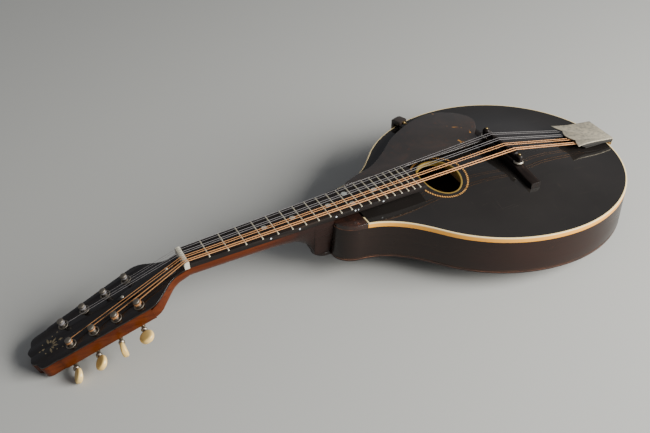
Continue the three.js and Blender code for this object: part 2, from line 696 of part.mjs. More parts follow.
function addBridge() {
  part('bridge_base', bridgeBase(), 'ebony', instrument).position.x = BRIDGE_X;
  part('bridge_saddle', saddle(), 'ebony', instrument).position.x = BRIDGE_X;
  for (const [name, side] of [['bass', -1], ['treble', 1]]) {
    const post = cylinder(1.9, 16.6, 10).translate(0, 0, bridgeLevels.baseTop + 3.5);
    part(`bridge_post_${name}`, post, 'brass', instrument).position.set(BRIDGE_X, side * wheelY, 0);
    part(`thumbwheel_${name}`, thumbwheel(), 'nickel', instrument).position.set(BRIDGE_X, side * wheelY, 0);
  }
}

// ---------------------------------------------------------------- tailpiece
const tail = { half: 19, top: 3.8, thick: 1.2, front: 99, drop: -34 };

function tailpieceBase() {
  const xr = TAIL_X + GAP;
  const wall = acrossX([[-tail.half, tail.top], [tail.half, tail.top], [tail.half - 7, tail.drop],
    [-tail.half + 7, tail.drop]].map(([y, z]) => new THREE.Vector2(y, z)), xr, xr + tail.thick,
  [circle(0, -RIM_DEPTH / 2, 4.6, 10)]);
  const shelf = box(tail.front, xr + 0.6, -tail.half, tail.half, tail.top - 0.4, tail.top + tail.thick - 0.4);
  const hooks = [];
  for (const course of COURSES) {
    for (const s of [-1, 1]) {
      const hook = cylinder(0.9, 3.6, 6).rotateY(0.35);
      hooks.push(hook.translate(HOOK_X + 1.9, course.tail + s * PAIR.tail, tail.top + 2));
    }
  }
  return joined(shelf, wall, ...hooks);
}

// Stamped cover: sheet, side flanges and a turned-down rear, sloping to the tail.
function tailpieceCover() {
  const shape = new THREE.Shape();
  shape.moveTo(40, 20);
  shape.quadraticCurveTo(19, 18.5, 0, 24);
  shape.quadraticCurveTo(2.5, 15, 6, 11);
  shape.quadraticCurveTo(-2, 0, 6, -11);
  shape.quadraticCurveTo(2.5, -15, 0, -24);
  shape.quadraticCurveTo(19, -18.5, 40, -20);
  const top = slab(shape.getPoints(5), -0.8, 0);
  const flange = (s) => {
    const outer = [[4, 22.6], [14, 20.6], [26, 19.9], [40, 20]];
    const ring = outer.map(([x, y]) => new THREE.Vector2(x, s * (y + 0.1)));
    const back = outer.slice().reverse().map(([x, y]) => new THREE.Vector2(x, s * (y - 0.7)));
    return slab(ring.concat(back), -4.6, -0.4);
  };
  const rear = box(39.2, 53.4, -20, 20, -0.8, 0);
  const lip = box(52.6, 53.4, -20, 20, -9, -0.4);
  return joined(top, flange(1), flange(-1), rear, lip).rotateY(0.09);
}

function endPin() {
  const profile = [[0, -16], [3.4, -16], [4, 0.6], [4, 1.8], [7.5, 2], [8, 4], [5, 7.5], [5.4, 11], [7.4, 13],
    [7.4, 14.5], [0, 14.5]];
  return new THREE.LatheGeometry(profile.map(([r, z]) => new THREE.Vector2(r, z)), 14).rotateZ(-Math.PI / 2);
}

// ---------------------------------------------------------------- pickguard
const guardFrame = new THREE.Matrix4().makeRotationFromEuler(new THREE.Euler(-0.09, -0.043, 0))
  .setPosition(-70, 28, 15.4);

function pickguard() {
  const shape = new THREE.Shape();
  const at = (x, y) => new THREE.Vector2(x + 70, y - 28);
  const outer = [[-171, 25.5], [-157, 32], [-134, 40.5], [-110, 59], [-87, 81], [-58, 99.5], [-30, 109],
    [-10, 105.2], [6, 91], [12, 72], [5, 55], [-6, 41]];
  shape.moveTo(...at(-176, 20.6).toArray());
  shape.splineThru(outer.map(([x, y]) => at(x, y)));
  for (const [x, y] of [[-8, 23], [-50, 21.6], [-105, 21.8]]) {
    shape.lineTo(...at(x, y).toArray());
  }
  return slab(shape.getPoints(3), -1.6, 0);
}

// C-shaped side clamp that holds the guard over the rim, and its stud.
const clampPlace = new THREE.Matrix4().makeRotationZ(0.37).setPosition(-56, 117.2, 0);
function guardClamp() {
  const profile = [[-7, 3.5], [-7, 8.5], [2, 8.5], [5, 5.5], [5, -44], [2.5, -47.5], [-6, -47.5], [-6, -45.2],
    [0.5, -45.2], [1.4, -42], [1.4, 3.5]].map(([y, z]) => new THREE.Vector2(y, z));
  return acrossX(profile, -6, 6).applyMatrix4(clampPlace);
}

function guardStud() {
  const profile = [[0, 0], [1.6, 0], [1.6, 2.5], [0.9, 2.6], [0.9, 6.2], [0, 6.2]];
  return new THREE.LatheGeometry(profile.map(([r, z]) => new THREE.Vector2(r, z)), 8)
    .rotateZ(Math.PI).translate(0, -7 - GAP, 6).applyMatrix4(clampPlace);
}

// ---------------------------------------------------------------- strings
// A wire of constant thickness through a few corners.
function wire(points, diameter) {
  const sides = 6;
  const rings = points.map((p, i) => {
    const before = points[Math.max(i - 1, 0)];
    const after = points[Math.min(i + 1, points.length - 1)];
    const along = after.clone().sub(before).normalize();
    const across = new THREE.Vector3(0, 1, 0).addScaledVector(along, -along.y).normalize();
    const up = new THREE.Vector3().crossVectors(along, across);
    const ring = [];
    for (let j = 0; j < sides; j += 1) {
      const a = (2 * Math.PI * j) / sides;
      ring.push(p.clone().addScaledVector(across, (diameter / 2) * Math.cos(a))
        .addScaledVector(up, (diameter / 2) * Math.sin(a)));
    }
    return ring;
  });
  return loft(rings);
}

function addStrings() {
  COURSES.forEach((course, c) => {
    const side = c < 2 ? -1 : 1;
    const firstPost = c === 0 || c === 3 ? 0 : 2;
    for (const k of [0, 1]) {
      const spread = side * (k === 0 ? 1 : -1);
      const r = course.diameter / 2;
      const post = postPlace(side, firstPost + k);
      const start = inHead(post.x + 0.6, post.y - side * (3.3 + r), 3.4);
      const nutY = course.nut + spread * PAIR.nut;
      const bridgeY = course.bridge + spread * PAIR.bridge;
      const tailY = course.tail + spread * PAIR.tail;
      const points = [
        start,
        inNeck(-NUT_LENGTH + 0.6, nutY, STRING_Z.nut - 0.4 + r),
        inNeck(-GAP, nutY, STRING_Z.nut + r),
        new THREE.Vector3(BRIDGE_X - 0.6, bridgeY, STRING_Z.bridge + r - 0.3),
        new THREE.Vector3(BRIDGE_X + 0.6, bridgeY, STRING_Z.bridge + r - 0.3),
        new THREE.Vector3(HOOK_X, tailY, STRING_Z.tail),
      ];
      const finish = c < 2 ? 'bronze' : 'steel';
      part(`string_${course.name}${k + 1}`, wire(points, course.diameter), finish, instrument);
    }
  });
}

// ---------------------------------------------------------------- assembly
part('top_plate', topPlate(), 'black', instrument);
part('back_plate', backPlate(), 'rim', instrument);
for (const [name, side] of [['bass', -1], ['treble', 1]]) {
  part(`rim_${name}`, rim(side), 'rim', instrument);
  part(`top_lining_${name}`, lining(side, -14, -EDGE - GAP), 'spruce', instrument);
  part(`back_lining_${name}`, lining(side, BACK_EDGE - RIM_DEPTH + GAP, -31), 'spruce', instrument);
}
part('head_block', headBlock(), 'mahogany', instrument);
part('tail_block', tailBlock(), 'mahogany', instrument);
part('cross_brace', crossBrace(), 'spruce', instrument);
part('top_binding', topBinding(), 'cream', instrument);
part('soundhole_binding', holeBinding(), 'ivoroid', instrument);

part('neck', neck(), 'mahogany', instrument);
part('fingerboard', fingerboard(), 'ebony', neckGroup);
part('nut', nutPiece(), 'bone', neckGroup);
const rod = cylinder(2.2, 134, 8).rotateY(Math.PI / 2).translate(-14.6 + 67, 0, rodZ);
part('truss_rod', rod, 'steel', neckGroup);
const rodNut = new THREE.LatheGeometry([[2.6, 0], [3.3, 0], [3.3, 6], [2.6, 6], [2.6, 0]]
  .map(([r, z]) => new THREE.Vector2(r, z)), 6).rotateZ(-Math.PI / 2);
part('truss_rod_nut', rodNut, 'brass', neckGroup).position.set(-14.6, 0, rodZ);
part('peghead_veneer', veneer(), 'ebony', headGroup);
part('truss_rod_cover', rodCover(), 'black', headGroup);
coverScrews.forEach((x, i) => {
  part(`cover_screw_${i + 1}`, coverScrew(), 'nickel', headGroup).position.x = x;
});
addTuners();
addBridge();

part('tailpiece_base', tailpieceBase(), 'nickel', instrument);
part('tailpiece_cover', tailpieceCover(), 'nickel', instrument).position.set(84, 0, 12);
part('end_pin', endPin(), 'black', instrument).position.set(TAIL_X + GAP, 0, -RIM_DEPTH / 2);
part('pickguard', pickguard(), 'tortoise', instrument).applyMatrix4(guardFrame);
part('pickguard_clamp', guardClamp(), 'tortoise', instrument);
part('pickguard_stud', guardStud(), 'brass', instrument);
addStrings();

// Stand the instrument on the plane z = 0, centred over the origin.
instrument.updateMatrixWorld(true);
const bounds = new THREE.Box3().setFromObject(instrument, true);
const middle = bounds.getCenter(new THREE.Vector3());
instrument.position.set(-middle.x, -middle.y, -bounds.min.z);

const mandolin = new THREE.Group();
mandolin.add(instrument);
mandolin.updateMatrixWorld(true);

export default mandolin;
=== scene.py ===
"""Looks of an old carved-top mandolin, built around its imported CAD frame.

Shapes are made in millimetres in the CAD design's own frames (body, neck, peghead and one
for each tuner) and are placed in the row frame by one matrix each.
"""
import json
import math

import bmesh
import bpy
import numpy as np
from mathutils import Matrix, Vector, geometry


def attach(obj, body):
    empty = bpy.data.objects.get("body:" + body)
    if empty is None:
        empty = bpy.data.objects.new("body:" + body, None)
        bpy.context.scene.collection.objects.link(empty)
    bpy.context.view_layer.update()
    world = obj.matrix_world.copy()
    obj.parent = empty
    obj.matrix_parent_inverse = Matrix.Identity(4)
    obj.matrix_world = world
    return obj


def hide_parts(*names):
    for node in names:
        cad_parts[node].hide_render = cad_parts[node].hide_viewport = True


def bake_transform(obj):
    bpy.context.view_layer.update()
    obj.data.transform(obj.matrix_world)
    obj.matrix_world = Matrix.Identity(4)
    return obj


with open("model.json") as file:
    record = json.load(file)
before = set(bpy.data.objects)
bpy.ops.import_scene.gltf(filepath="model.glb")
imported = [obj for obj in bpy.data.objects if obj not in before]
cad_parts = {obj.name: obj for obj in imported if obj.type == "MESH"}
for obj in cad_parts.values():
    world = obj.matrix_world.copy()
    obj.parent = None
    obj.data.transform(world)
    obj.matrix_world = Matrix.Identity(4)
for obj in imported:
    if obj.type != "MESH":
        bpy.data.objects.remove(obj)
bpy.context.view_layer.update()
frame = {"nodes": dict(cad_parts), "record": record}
JOINTS = {joint["name"]: joint for joint in frame["record"]["behaviour"]["joints"]}
ROOT = "mandolin"
PI = math.pi

# ------------------------------------------------------------------ sizes of the design, mm
GAP = 0.3
SCALE = 352.4                       # nut to twelfth fret, doubled
FRETS = 20
WIDE, TAIL_X, FLANK_X = 128, 134, 145
FLANK_END = math.acos(-0.8)
BINDING_X, BINDING_WALL, LEG = -177, 1.5, 21.5
SHOULDER = (-182, 33)
NECK_FACE = (-206, 14)
RIM_DEPTH, RIM_WALL, EDGE, BACK_EDGE = 43.5, 2.5, 5.1, 4
TOP_ARCH, BACK_ARCH, ARCH_REACH = 10.5, 14, 110
HOLE_X, HOLE_RX, HOLE_RY, HOLE_RING = -76.5, 18.6, 29, 1.8
NECK_ANGLE, NECK_PLACE = math.radians(4.3), (-352.4, 0, -2.6)
NUT_WIDTH, BOARD_WIDTH, BOARD_END, BOARD, NUT_LENGTH = 26.8, 41.6, 248.5, 5.5, 5
HEAD_ANGLE, HEAD_DROP = math.radians(17.8), 5.5
HEAD_THICK, VENEER = 14.5, 1.5
FIRST_POST, POST_PITCH, POST_ROW, GEAR_TEETH = 51.3, 23.1, 20, 14
POST_TAPER = math.asin(2 / POST_PITCH)
WORM_OFFSET, WORM_Z = 7.3, -18.1
COVER_SCREWS = (-14.2, -61)
COIL, COIL_TOP = 2.72, 5.0          # radius under the string's turns on its post, and their top
HOOK_X, WHEEL_Y, WHEEL_JOINT = 106, 29, 19.3
BASE_TOP, WHEEL_LOW, WHEEL_HIGH, SADDLE_LOW, SADDLE_HIGH = 17, 18.3, 20.4, 20.7, 27.4
HEEL_START, HEEL_RUN, HEEL_TAPER = 104, 22, 0.45
STRING_NUT, STRING_BRIDGE, STRING_TAIL = 1.4, 28, 6.2
PAIR = {"nut": 1.3, "bridge": 1.7, "tail": 1.6}
COURSES = {                         # diameter, places at nut, bridge and tail, break point
    "g": (1.02, -10.1, -18.2, -13.2, 2.6),
    "d": (0.66, -3.3, -5.9, -4.4, -1.8),
    "a": (0.4, 3.3, 5.9, 4.4, -0.8),
    "e": (0.3, 10.1, 18.2, 13.2, -2.6),
}
SIDES = (("bass", -1), ("treble", 1))
BUTTON_TURNS = {"e1": 35, "e2": 75, "a1": -30, "a2": 40, "g1": 5, "g2": 82, "d1": 30, "d2": 48}
# Where finishes, and the rim's painted sheen, start and are full along the instrument, or round a key, in
# metres.
HEEL_SHADE, KEY_WEAR = (-0.11, -0.05), (0.0165, 0.0115)
# The rim's painted warm sheen, a highlight on the middle of each flank, grows and then fades.
SHEEN_GROWS, SHEEN_FADES = (0.02, 0.17), (0.26, 0.12)


# ------------------------------------------------------------------ frames
def placed(x_axis, y_axis, origin):
    """Matrix from a frame in millimetres to the row frame in metres."""
    x, y = Vector(x_axis).normalized(), Vector(y_axis).normalized()
    turn = Matrix((x, y, x.cross(y))).transposed().to_4x4()
    return Matrix.Translation(origin) @ turn @ Matrix.Scale(0.001, 4)


def body_frame():
    """Frame of the body: origin in the top's plane under the saddle, X towards the tail."""
    wheel = JOINTS["thumbwheel_bass_turn"]["pos_m"]
    turned = placed(JOINTS["cover_slide"]["axis"], (0, 1, 0), (0, 0, 0))
    origin = Vector(wheel) - turned @ Vector((0, -WHEEL_Y, WHEEL_JOINT))
    return Matrix.Translation(origin) @ turned


BODY = body_frame()
NECK = BODY @ Matrix.Translation(NECK_PLACE) @ Matrix.Rotation(-NECK_ANGLE, 4, "Y")
HEAD_STEP = Matrix.Translation((-NUT_LENGTH, 0, -HEAD_DROP)) @ Matrix.Rotation(-HEAD_ANGLE, 4, "Y")
HEAD = NECK @ HEAD_STEP
NECK_IN_BODY = BODY.inverted() @ NECK
HEAD_IN_NECK = NECK.inverted() @ HEAD


def post_frame(course):
    """Frame of a string post: Z along the post, Y towards the tuner's button."""
    post = JOINTS[f"string_post_{course}_turn"]
    out = Vector(JOINTS[f"tuner_key_{course}_turn"]["axis"])
    return placed(out.cross(Vector(post["axis"])), out, post["pos_m"])


def key_frame(course):
    """Frame of a tuner key: Y along the shaft to the button, turned as the button is at rest."""
    key = JOINTS[f"tuner_key_{course}_turn"]
    out = Vector(key["axis"])
    up = Vector(JOINTS[f"string_post_{course}_turn"]["axis"])
    turn = Matrix.Rotation(math.radians(BUTTON_TURNS[course]), 4, "Y")
    return placed(out.cross(up), out, key["pos_m"]) @ turn


# ------------------------------------------------------------------ shapes
class Shape:
    """Vertices, faces, one paint index for each face and one (u, v) for each face corner."""

    def __init__(self):
        self.verts, self.faces, self.paints, self.uvs = [], [], [], []

    def face(self, corners, paint=0, uv=None):
        self.faces.append(tuple(corners))
        self.paints.append(paint)
        self.uvs.append(uv or [(0.0, 0.0)] * len(corners))

    def add(self, other, place=None, paint=None):
        start = len(self.verts)
        self.verts += [tuple(place @ Vector(v)) if place else tuple(v) for v in other.verts]
        self.faces += [tuple(start + i for i in f) for f in other.faces]
        self.paints += other.paints if paint is None else [paint] * len(other.faces)
        self.uvs += other.uvs
        return self

    def moved(self, place):
        return Shape().add(self, place)

    def bent(self, change):
        """The same shape with every vertex moved by a function."""
        self.verts = [tuple(change(*v)) for v in self.verts]
        return self


def shift(x, y, z):
    return Matrix.Translation((x, y, z))


def spin(degrees, axis):
    return Matrix.Rotation(math.radians(degrees), 4, axis)


FROM_SIDE = spin(90, "X")           # an outline in x and z, with its thickness along y
FROM_END = spin(90, "Z") @ FROM_SIDE        # an outline in y and z, with its thickness along x


def arc(cx, cy, rx, ry, start, end, count):
    turns = np.linspace(start, end, count)
    return [(cx + rx * math.cos(a), cy + ry * math.sin(a)) for a in turns]


def ring(cx, cy, rx, ry=None, count=24):
    return arc(cx, cy, rx, ry or rx, 0, 2 * PI, count + 1)[:-1]


def bezier(p, q, r, s, count):
    curve = geometry.interpolate_bezier(*(Vector((*c, 0)) for c in (p, q, r, s)), count)
    return [(v.x, v.y) for v in curve]


def quadratic(p, q, r, count):
    a = tuple(p[i] + (q[i] - p[i]) * 2 / 3 for i in (0, 1))
    b = tuple(r[i] + (q[i] - r[i]) * 2 / 3 for i in (0, 1))
    return bezier(p, a, b, r, count)


def through(points, count):
    """A Catmull-Rom curve through points, with count steps in each span."""
    ends = [points[0]] + list(points) + [points[-1]]
    curve = []
    for a, b, c, d in zip(ends, ends[1:], ends[2:], ends[3:]):
        out = tuple(b[i] + (c[i] - a[i]) / 6 for i in (0, 1))
        back = tuple(c[i] - (d[i] - b[i]) / 6 for i in (0, 1))
        curve += bezier(b, out, back, c, count + 1)[:-1]
    return curve + [tuple(points[-1])]


def clean(points, closed=True):
    """The points without neighbours in the same place."""
    kept = [points[0]]
    for p in points[1:]:
        if math.dist(p, kept[-1]) > 0.01:
            kept.append(p)
    if closed and math.dist(kept[0], kept[-1]) < 0.01:
        kept.pop()
    return kept


def offset(points, distance):
    """A closed outline moved to its left by a distance, mitred at its corners."""
    p = np.array(points, float)
    before = p - np.roll(p, 1, 0)
    after = np.roll(p, -1, 0) - p
    before /= np.linalg.norm(before, axis=1)[:, None]
    after /= np.linalg.norm(after, axis=1)[:, None]
    along = before + after
    along /= np.linalg.norm(along, axis=1)[:, None]
    mitre = np.clip((along * after).sum(1), 0.5, 1)
    left = np.stack([-along[:, 1], along[:, 0]], 1)
    return [tuple(v) for v in p + left * (distance / mitre)[:, None]]


def area(points):
    p = np.array(points, float)
    q = np.roll(p, -1, 0)
    return float((p[:, 0] * q[:, 1] - q[:, 0] * p[:, 1]).sum()) / 2


def grow(points, distance):
    """A closed outline made larger (or smaller) all round."""
    return offset(points, -distance if area(points) > 0 else distance)


def loft(rings, looped=False):
    """A skin over rings of equal counts. u runs along it in millimetres, v goes round."""
    shape = Shape()
    count = len(rings[0])
    shape.verts = [tuple(v) for r in rings for v in r]
    middles = [Vector([sum(c) / count for c in zip(*r)]) for r in rings]
    run = [0.0]
    for a, b in zip(middles, middles[1:] + middles[:1]):
        run.append(run[-1] + (b - a).length)
    for i in range(len(rings) if looped else len(rings) - 1):
        k = (i + 1) % len(rings)
        for j in range(count):
            m = (j + 1) % count
            v0, v1 = j / count, (j + 1) / count
            uv = [(run[i], v0), (run[i], v1), (run[i + 1], v1), (run[i + 1], v0)]
            shape.face((i * count + j, i * count + m, k * count + m, k * count + j), 0, uv)
    if not looped:
        last = (len(rings) - 1) * count
        shape.face(range(count))
        shape.face(range(last, last + count))
    return shape


def lathe(profile, count=32):
    """Profile points (radius, height) turned round Z. A closed profile makes a ring."""
    rings = []
    for i in range(count):
        a = 2 * PI * i / count
        rings.append([(max(r, 1e-4) * math.cos(a), max(r, 1e-4) * math.sin(a), z) for r, z in profile])
    shape = Shape()
    n = len(profile)
    shape.verts = [v for r in rings for v in r]
    closed = profile[0][0] > 0.001
    for i in range(count):
        k = (i + 1) % count
        for j in range(n if closed else n - 1):
            m = (j + 1) % n
            u0, u1, v0, v1 = i / count, (i + 1) / count, j / n, (j + 1) / n
            uv = [(u0, v0), (u0, v1), (u1, v1), (u1, v0)]
            shape.face((i * n + j, i * n + m, k * n + m, k * n + j), 0, uv)
    return shape


def slab(outline, z0, z1, holes=(), bevel=0.3, steps=2, paint=0):
    """A plate with rounded edges over an outline with holes."""
    loops = [clean(list(outline))] + [clean(list(h)) for h in holes]
    low = [(z0, 0)]
    if bevel:
        turns = [PI / 2 * i / steps for i in range(steps + 1)]
        low = [(z0 + bevel * (1 - math.cos(a)), bevel * (1 - math.sin(a))) for a in turns]
    stack = low + [(z0 + z1 - z, inwards) for z, inwards in reversed(low)]
    shape = Shape()
    bottoms, tops = [], []
    for number, loop in enumerate(loops):
        sign = -1 if number == 0 else 1
        first, count = len(shape.verts), len(loop)
        for z, inwards in stack:
            points = grow(loop, sign * inwards) if inwards > 1e-6 else loop
            shape.verts += [(x, y, z) for x, y in points]
        for i in range(len(stack) - 1):
            below, above = first + i * count, first + (i + 1) * count
            for j in range(count):
                m = (j + 1) % count
                shape.face((below + j, below + m, above + m, above + j), paint)
        bottoms.append(range(first, first + count))
        tops.append(range(above, above + count))
    for ranges in (bottoms, tops):
        points = [[Vector(shape.verts[i]) for i in r] for r in ranges]
        index = [i for r in ranges for i in r]
        for triangle in geometry.tessellate_polygon(points):
            shape.face([index[i] for i in triangle], paint)
    return shape


def tube(points, radius, sides=10):
    """A round wire along points."""
    pts = [Vector(p) for p in points]
    turns = np.linspace(0, 2 * PI, sides + 1)[:-1]
    rings = []
    across = None
    for i, p in enumerate(pts):
        along = (pts[min(i + 1, len(pts) - 1)] - pts[max(i - 1, 0)]).normalized()
        if across is None:
            across = along.orthogonal().normalized()
        across = (across - along * across.dot(along)).normalized()
        up = along.cross(across)
        rings.append([p + (across * math.cos(a) + up * math.sin(a)) * radius for a in turns])
    return loft(rings)


def helix(radius, z0, z1, turns, start=0.0, steps=18):
    """Points round Z from height z0 to z1."""
    count = max(int(turns * steps), 2)
    points = []
    for i in range(count + 1):
        t = i / count
        a = start + 2 * PI * turns * t
        points.append((radius * math.cos(a), radius * math.sin(a), z0 + (z1 - z0) * t))
    return points


def knurled(levels, count):
    """Rings of a wheel at (height, radius, depth), notched at every other point."""
    rings = []
    for z, radius, depth in levels:
        reach = [radius - depth * (i % 2) for i in range(count)]
        turns = [2 * PI * i / count for i in range(count)]
        rings.append([(r * math.cos(a), r * math.sin(a), z) for r, a in zip(reach, turns)])
    return rings


def build(name, shape, place, looks, body=ROOT, stands_for=(), sharp=35):
    """Makes the piece, smooth except at sharp corners, and lets it ride on its body."""
    mesh = bpy.data.meshes.new(name)
    mesh.from_pydata([place @ Vector(v) for v in shape.verts], [], shape.faces)
    layer = mesh.uv_layers.new(name="UVMap")
    layer.data.foreach_set("uv", [c for uv in shape.uvs for pair in uv for c in pair])
    mesh.polygons.foreach_set("material_index", shape.paints)
    form = bmesh.new()
    form.from_mesh(mesh)
    bmesh.ops.remove_doubles(form, verts=form.verts, dist=2e-6)
    bmesh.ops.recalc_face_normals(form, faces=form.faces)
    form.to_mesh(mesh)
    form.free()
    mesh.polygons.foreach_set("use_smooth", [True] * len(mesh.polygons))
    mesh.set_sharp_from_angle(angle=math.radians(sharp))
    thing = bpy.data.objects.new(name, mesh)
    bpy.context.scene.collection.objects.link(thing)
    for look in looks if isinstance(looks, (list, tuple)) else [looks]:
        mesh.materials.append(look)
    if stands_for:
        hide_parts(*stands_for)
    if body:
        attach(thing, body)
    return thing


# ------------------------------------------------------------------ materials
class Look:
    """A Principled material with short helpers for its nodes."""

    def __init__(self, name, color=(0.5, 0.5, 0.5), roughness=0.5, metallic=0.0, **sockets):
        self.material = bpy.data.materials.new(name)
        self.material.use_nodes = True
        self.nodes = self.material.node_tree.nodes
        self.links = self.material.node_tree.links
        self.shader = self.nodes["Principled BSDF"]
        self.shader.inputs["Base Color"].default_value = (*color, 1)
        self.shader.inputs["Roughness"].default_value = roughness
        self.shader.inputs["Metallic"].default_value = metallic
        for key, value in sockets.items():
            self.shader.inputs[key.replace("_", " ")].default_value = value
        self.coordinates = self.nodes.new("ShaderNodeTexCoord")

    def put(self, kind, settings=None, **values):
        node = self.nodes.new(kind)
        for key, value in (settings or {}).items():
            setattr(node, key, value)
        for key, value in values.items():
            self.join(value, node.inputs[key.replace("_", " ")])
        return node

    def join(self, value, socket):
        if isinstance(value, bpy.types.NodeSocket):
            self.links.new(value, socket)
        elif isinstance(value, (tuple, list)) and len(value) == 3 and socket.type == "RGBA":
            socket.default_value = (*value, 1)
        else:
            socket.default_value = value

    def place(self, scale=(1, 1, 1), turn=(0, 0, 0), source="Object"):
        """Coordinates in metres of the row frame (or UV), scaled."""
        node = self.put("ShaderNodeMapping", Vector=self.coordinates.outputs[source])
        node.inputs["Scale"].default_value = scale
        node.inputs["Rotation"].default_value = turn
        return node.outputs[0]

    def axis(self, index, source="Object"):
        return self.put("ShaderNodeSeparateXYZ", Vector=self.coordinates.outputs[source]).outputs[index]

    def noise(self, scale, detail=3.0, rough=0.5, twist=0.0, turn=0.0):
        """Noise at one scale, or at one for each axis."""
        stretch, scale = (scale, 1.0) if isinstance(scale, tuple) else ((1, 1, 1), scale)
        node = self.put("ShaderNodeTexNoise", Vector=self.place(stretch, (0, 0, turn)), Scale=scale,
                        Detail=detail, Roughness=rough, Distortion=twist)
        return node.outputs["Fac"]

    def cells(self, scale):
        return self.put("ShaderNodeTexVoronoi", Vector=self.place(), Scale=scale).outputs["Distance"]

    def ramp(self, factor, *stops):
        """Stops are (place, color or number)."""
        node = self.put("ShaderNodeValToRGB", Fac=factor)
        elements = node.color_ramp.elements
        while len(elements) < len(stops):
            elements.new(0.5)
        for element, (place, value) in zip(elements, stops):
            element.position = place
            color = value if isinstance(value, tuple) else (value,) * 3
            element.color = (*color, 1)
        return node.outputs[0]

    def span(self, value, low, high, to_low=0.0, to_high=1.0):
        node = self.put("ShaderNodeMapRange", Value=value)
        for socket, number in zip(("From Min", "From Max", "To Min", "To Max"), (low, high, to_low, to_high)):
            node.inputs[socket].default_value = number
        return node.outputs[0]

    def mix(self, factor, first, second):
        node = self.nodes.new("ShaderNodeMix")
        node.data_type = "RGBA"
        self.join(factor, node.inputs[0])
        self.join(first, node.inputs[6])
        self.join(second, node.inputs[7])
        return node.outputs[2]

    def sums(self, kind, first, second):
        node = self.nodes.new("ShaderNodeMath")
        node.operation = kind
        self.join(first, node.inputs[0])
        self.join(second, node.inputs[1])
        return node.outputs[0]

    def plus(self, first, second):
        return self.sums("ADD", first, second)

    def times(self, first, second):
        return self.sums("MULTIPLY", first, second)

    def color(self, socket):
        self.links.new(socket, self.shader.inputs["Base Color"])

    def roughness(self, socket):
        self.links.new(socket, self.shader.inputs["Roughness"])

    def bump(self, height, strength=0.3, distance=0.0002):
        node = self.put("ShaderNodeBump", Height=height, Strength=strength, Distance=distance)
        before = self.shader.inputs["Normal"].links
        if before:
            self.links.new(before[0].from_socket, node.inputs["Normal"])
        self.links.new(node.outputs[0], self.shader.inputs["Normal"])
        return self


def tinted(color, amount):
    return tuple(min(amount * c, 1) for c in color)


def lacquer(name="black_lacquer", tint=(0.011, 0.0095, 0.0085), polish=0.05):
    """Old black lacquer: deep gloss with a slight ripple, hair scratches and dust."""
    look = Look(name, tint, polish, Specular_IOR_Level=0.52)
    haze = look.noise(9.0, 4.0)
    hairs = look.noise((25, 900, 60), 2.0, turn=0.5)
    more = look.noise((700, 30, 60), 2.0, turn=-0.35)
    marks = look.sums("MAXIMUM", look.ramp(hairs, (0.68, 0.0), (0.73, 1.0)),
                      look.ramp(more, (0.7, 0.0), (0.74, 1.0)))
    specks = look.ramp(look.cells(260.0), (0.0, 1.0), (0.035, 0.0))
    rare = look.ramp(look.noise(60.0, 1.0), (0.6, 0.0), (0.66, 1.0))
    dust = look.times(specks, rare)
    base = look.mix(look.ramp(haze, (0.35, 0.0), (0.7, 1.0)), tint, tinted(tint, 1.6))
    worn = look.mix(look.times(marks, 0.25), base, (0.05, 0.04, 0.03))
    look.color(look.mix(dust, worn, (0.32, 0.28, 0.22)))
    shine = look.span(haze, 0.3, 0.7, polish * 0.7, polish * 1.7)
    look.roughness(look.plus(shine, look.times(marks, 0.07)))
    ripple = look.noise(22.0, 1.0)
    look.bump(ripple, 0.35, 0.0004)
    return look.bump(look.plus(marks, dust), 0.1, 0.0001).material


def shaded_rim():
    """Dark stained maple under satin varnish, with a painted warm sheen (a highlight) along the flanks, and
    rubbed dings.
    """
    look = Look("rim_varnish", (0.04, 0.02, 0.014), 0.3, Specular_IOR_Level=0.35)
    grain = look.noise((7, 7, 350), 3.0, 0.5)
    figure = look.noise((14, 14, 30), 3.0)
    dark = look.mix(grain, (0.01, 0.0055, 0.004), (0.016, 0.008, 0.006))
    sheen_tint = look.mix(grain, (0.018, 0.007, 0.0045), (0.03, 0.01, 0.006))
    # Painted highlight: a warm sheen lightens the middle of each flank.
    painted_sheen = look.times(look.span(look.axis(0), *SHEEN_GROWS), look.span(look.axis(0), *SHEEN_FADES))
    painted_sheen = look.times(painted_sheen, look.span(figure, 0.25, 0.7, 0.35, 1.0))
    body = look.mix(painted_sheen, dark, sheen_tint)
    dings = look.ramp(look.cells(130.0), (0.0, 1.0), (0.05, 0.0))
    rare = look.ramp(look.noise(35.0, 1.0), (0.56, 0.0), (0.62, 1.0))
    spots = look.times(dings, rare)
    look.color(look.mix(spots, body, (0.16, 0.055, 0.025)))
    look.roughness(look.span(figure, 0.3, 0.7, 0.22, 0.36))
    return look.bump(grain, 0.08, 0.0001).material


def worn_edge():
    """Varnish rubbed through to red-brown wood along an edge."""
    look = Look("worn_edge", (0.1, 0.035, 0.02), 0.4)
    wear = look.noise((60, 60, 60), 5.0, 0.7)
    look.color(look.ramp(wear, (0.38, (0.03, 0.014, 0.01)), (0.55, (0.11, 0.04, 0.02)),
                         (0.66, (0.27, 0.11, 0.05))))
    return look.material


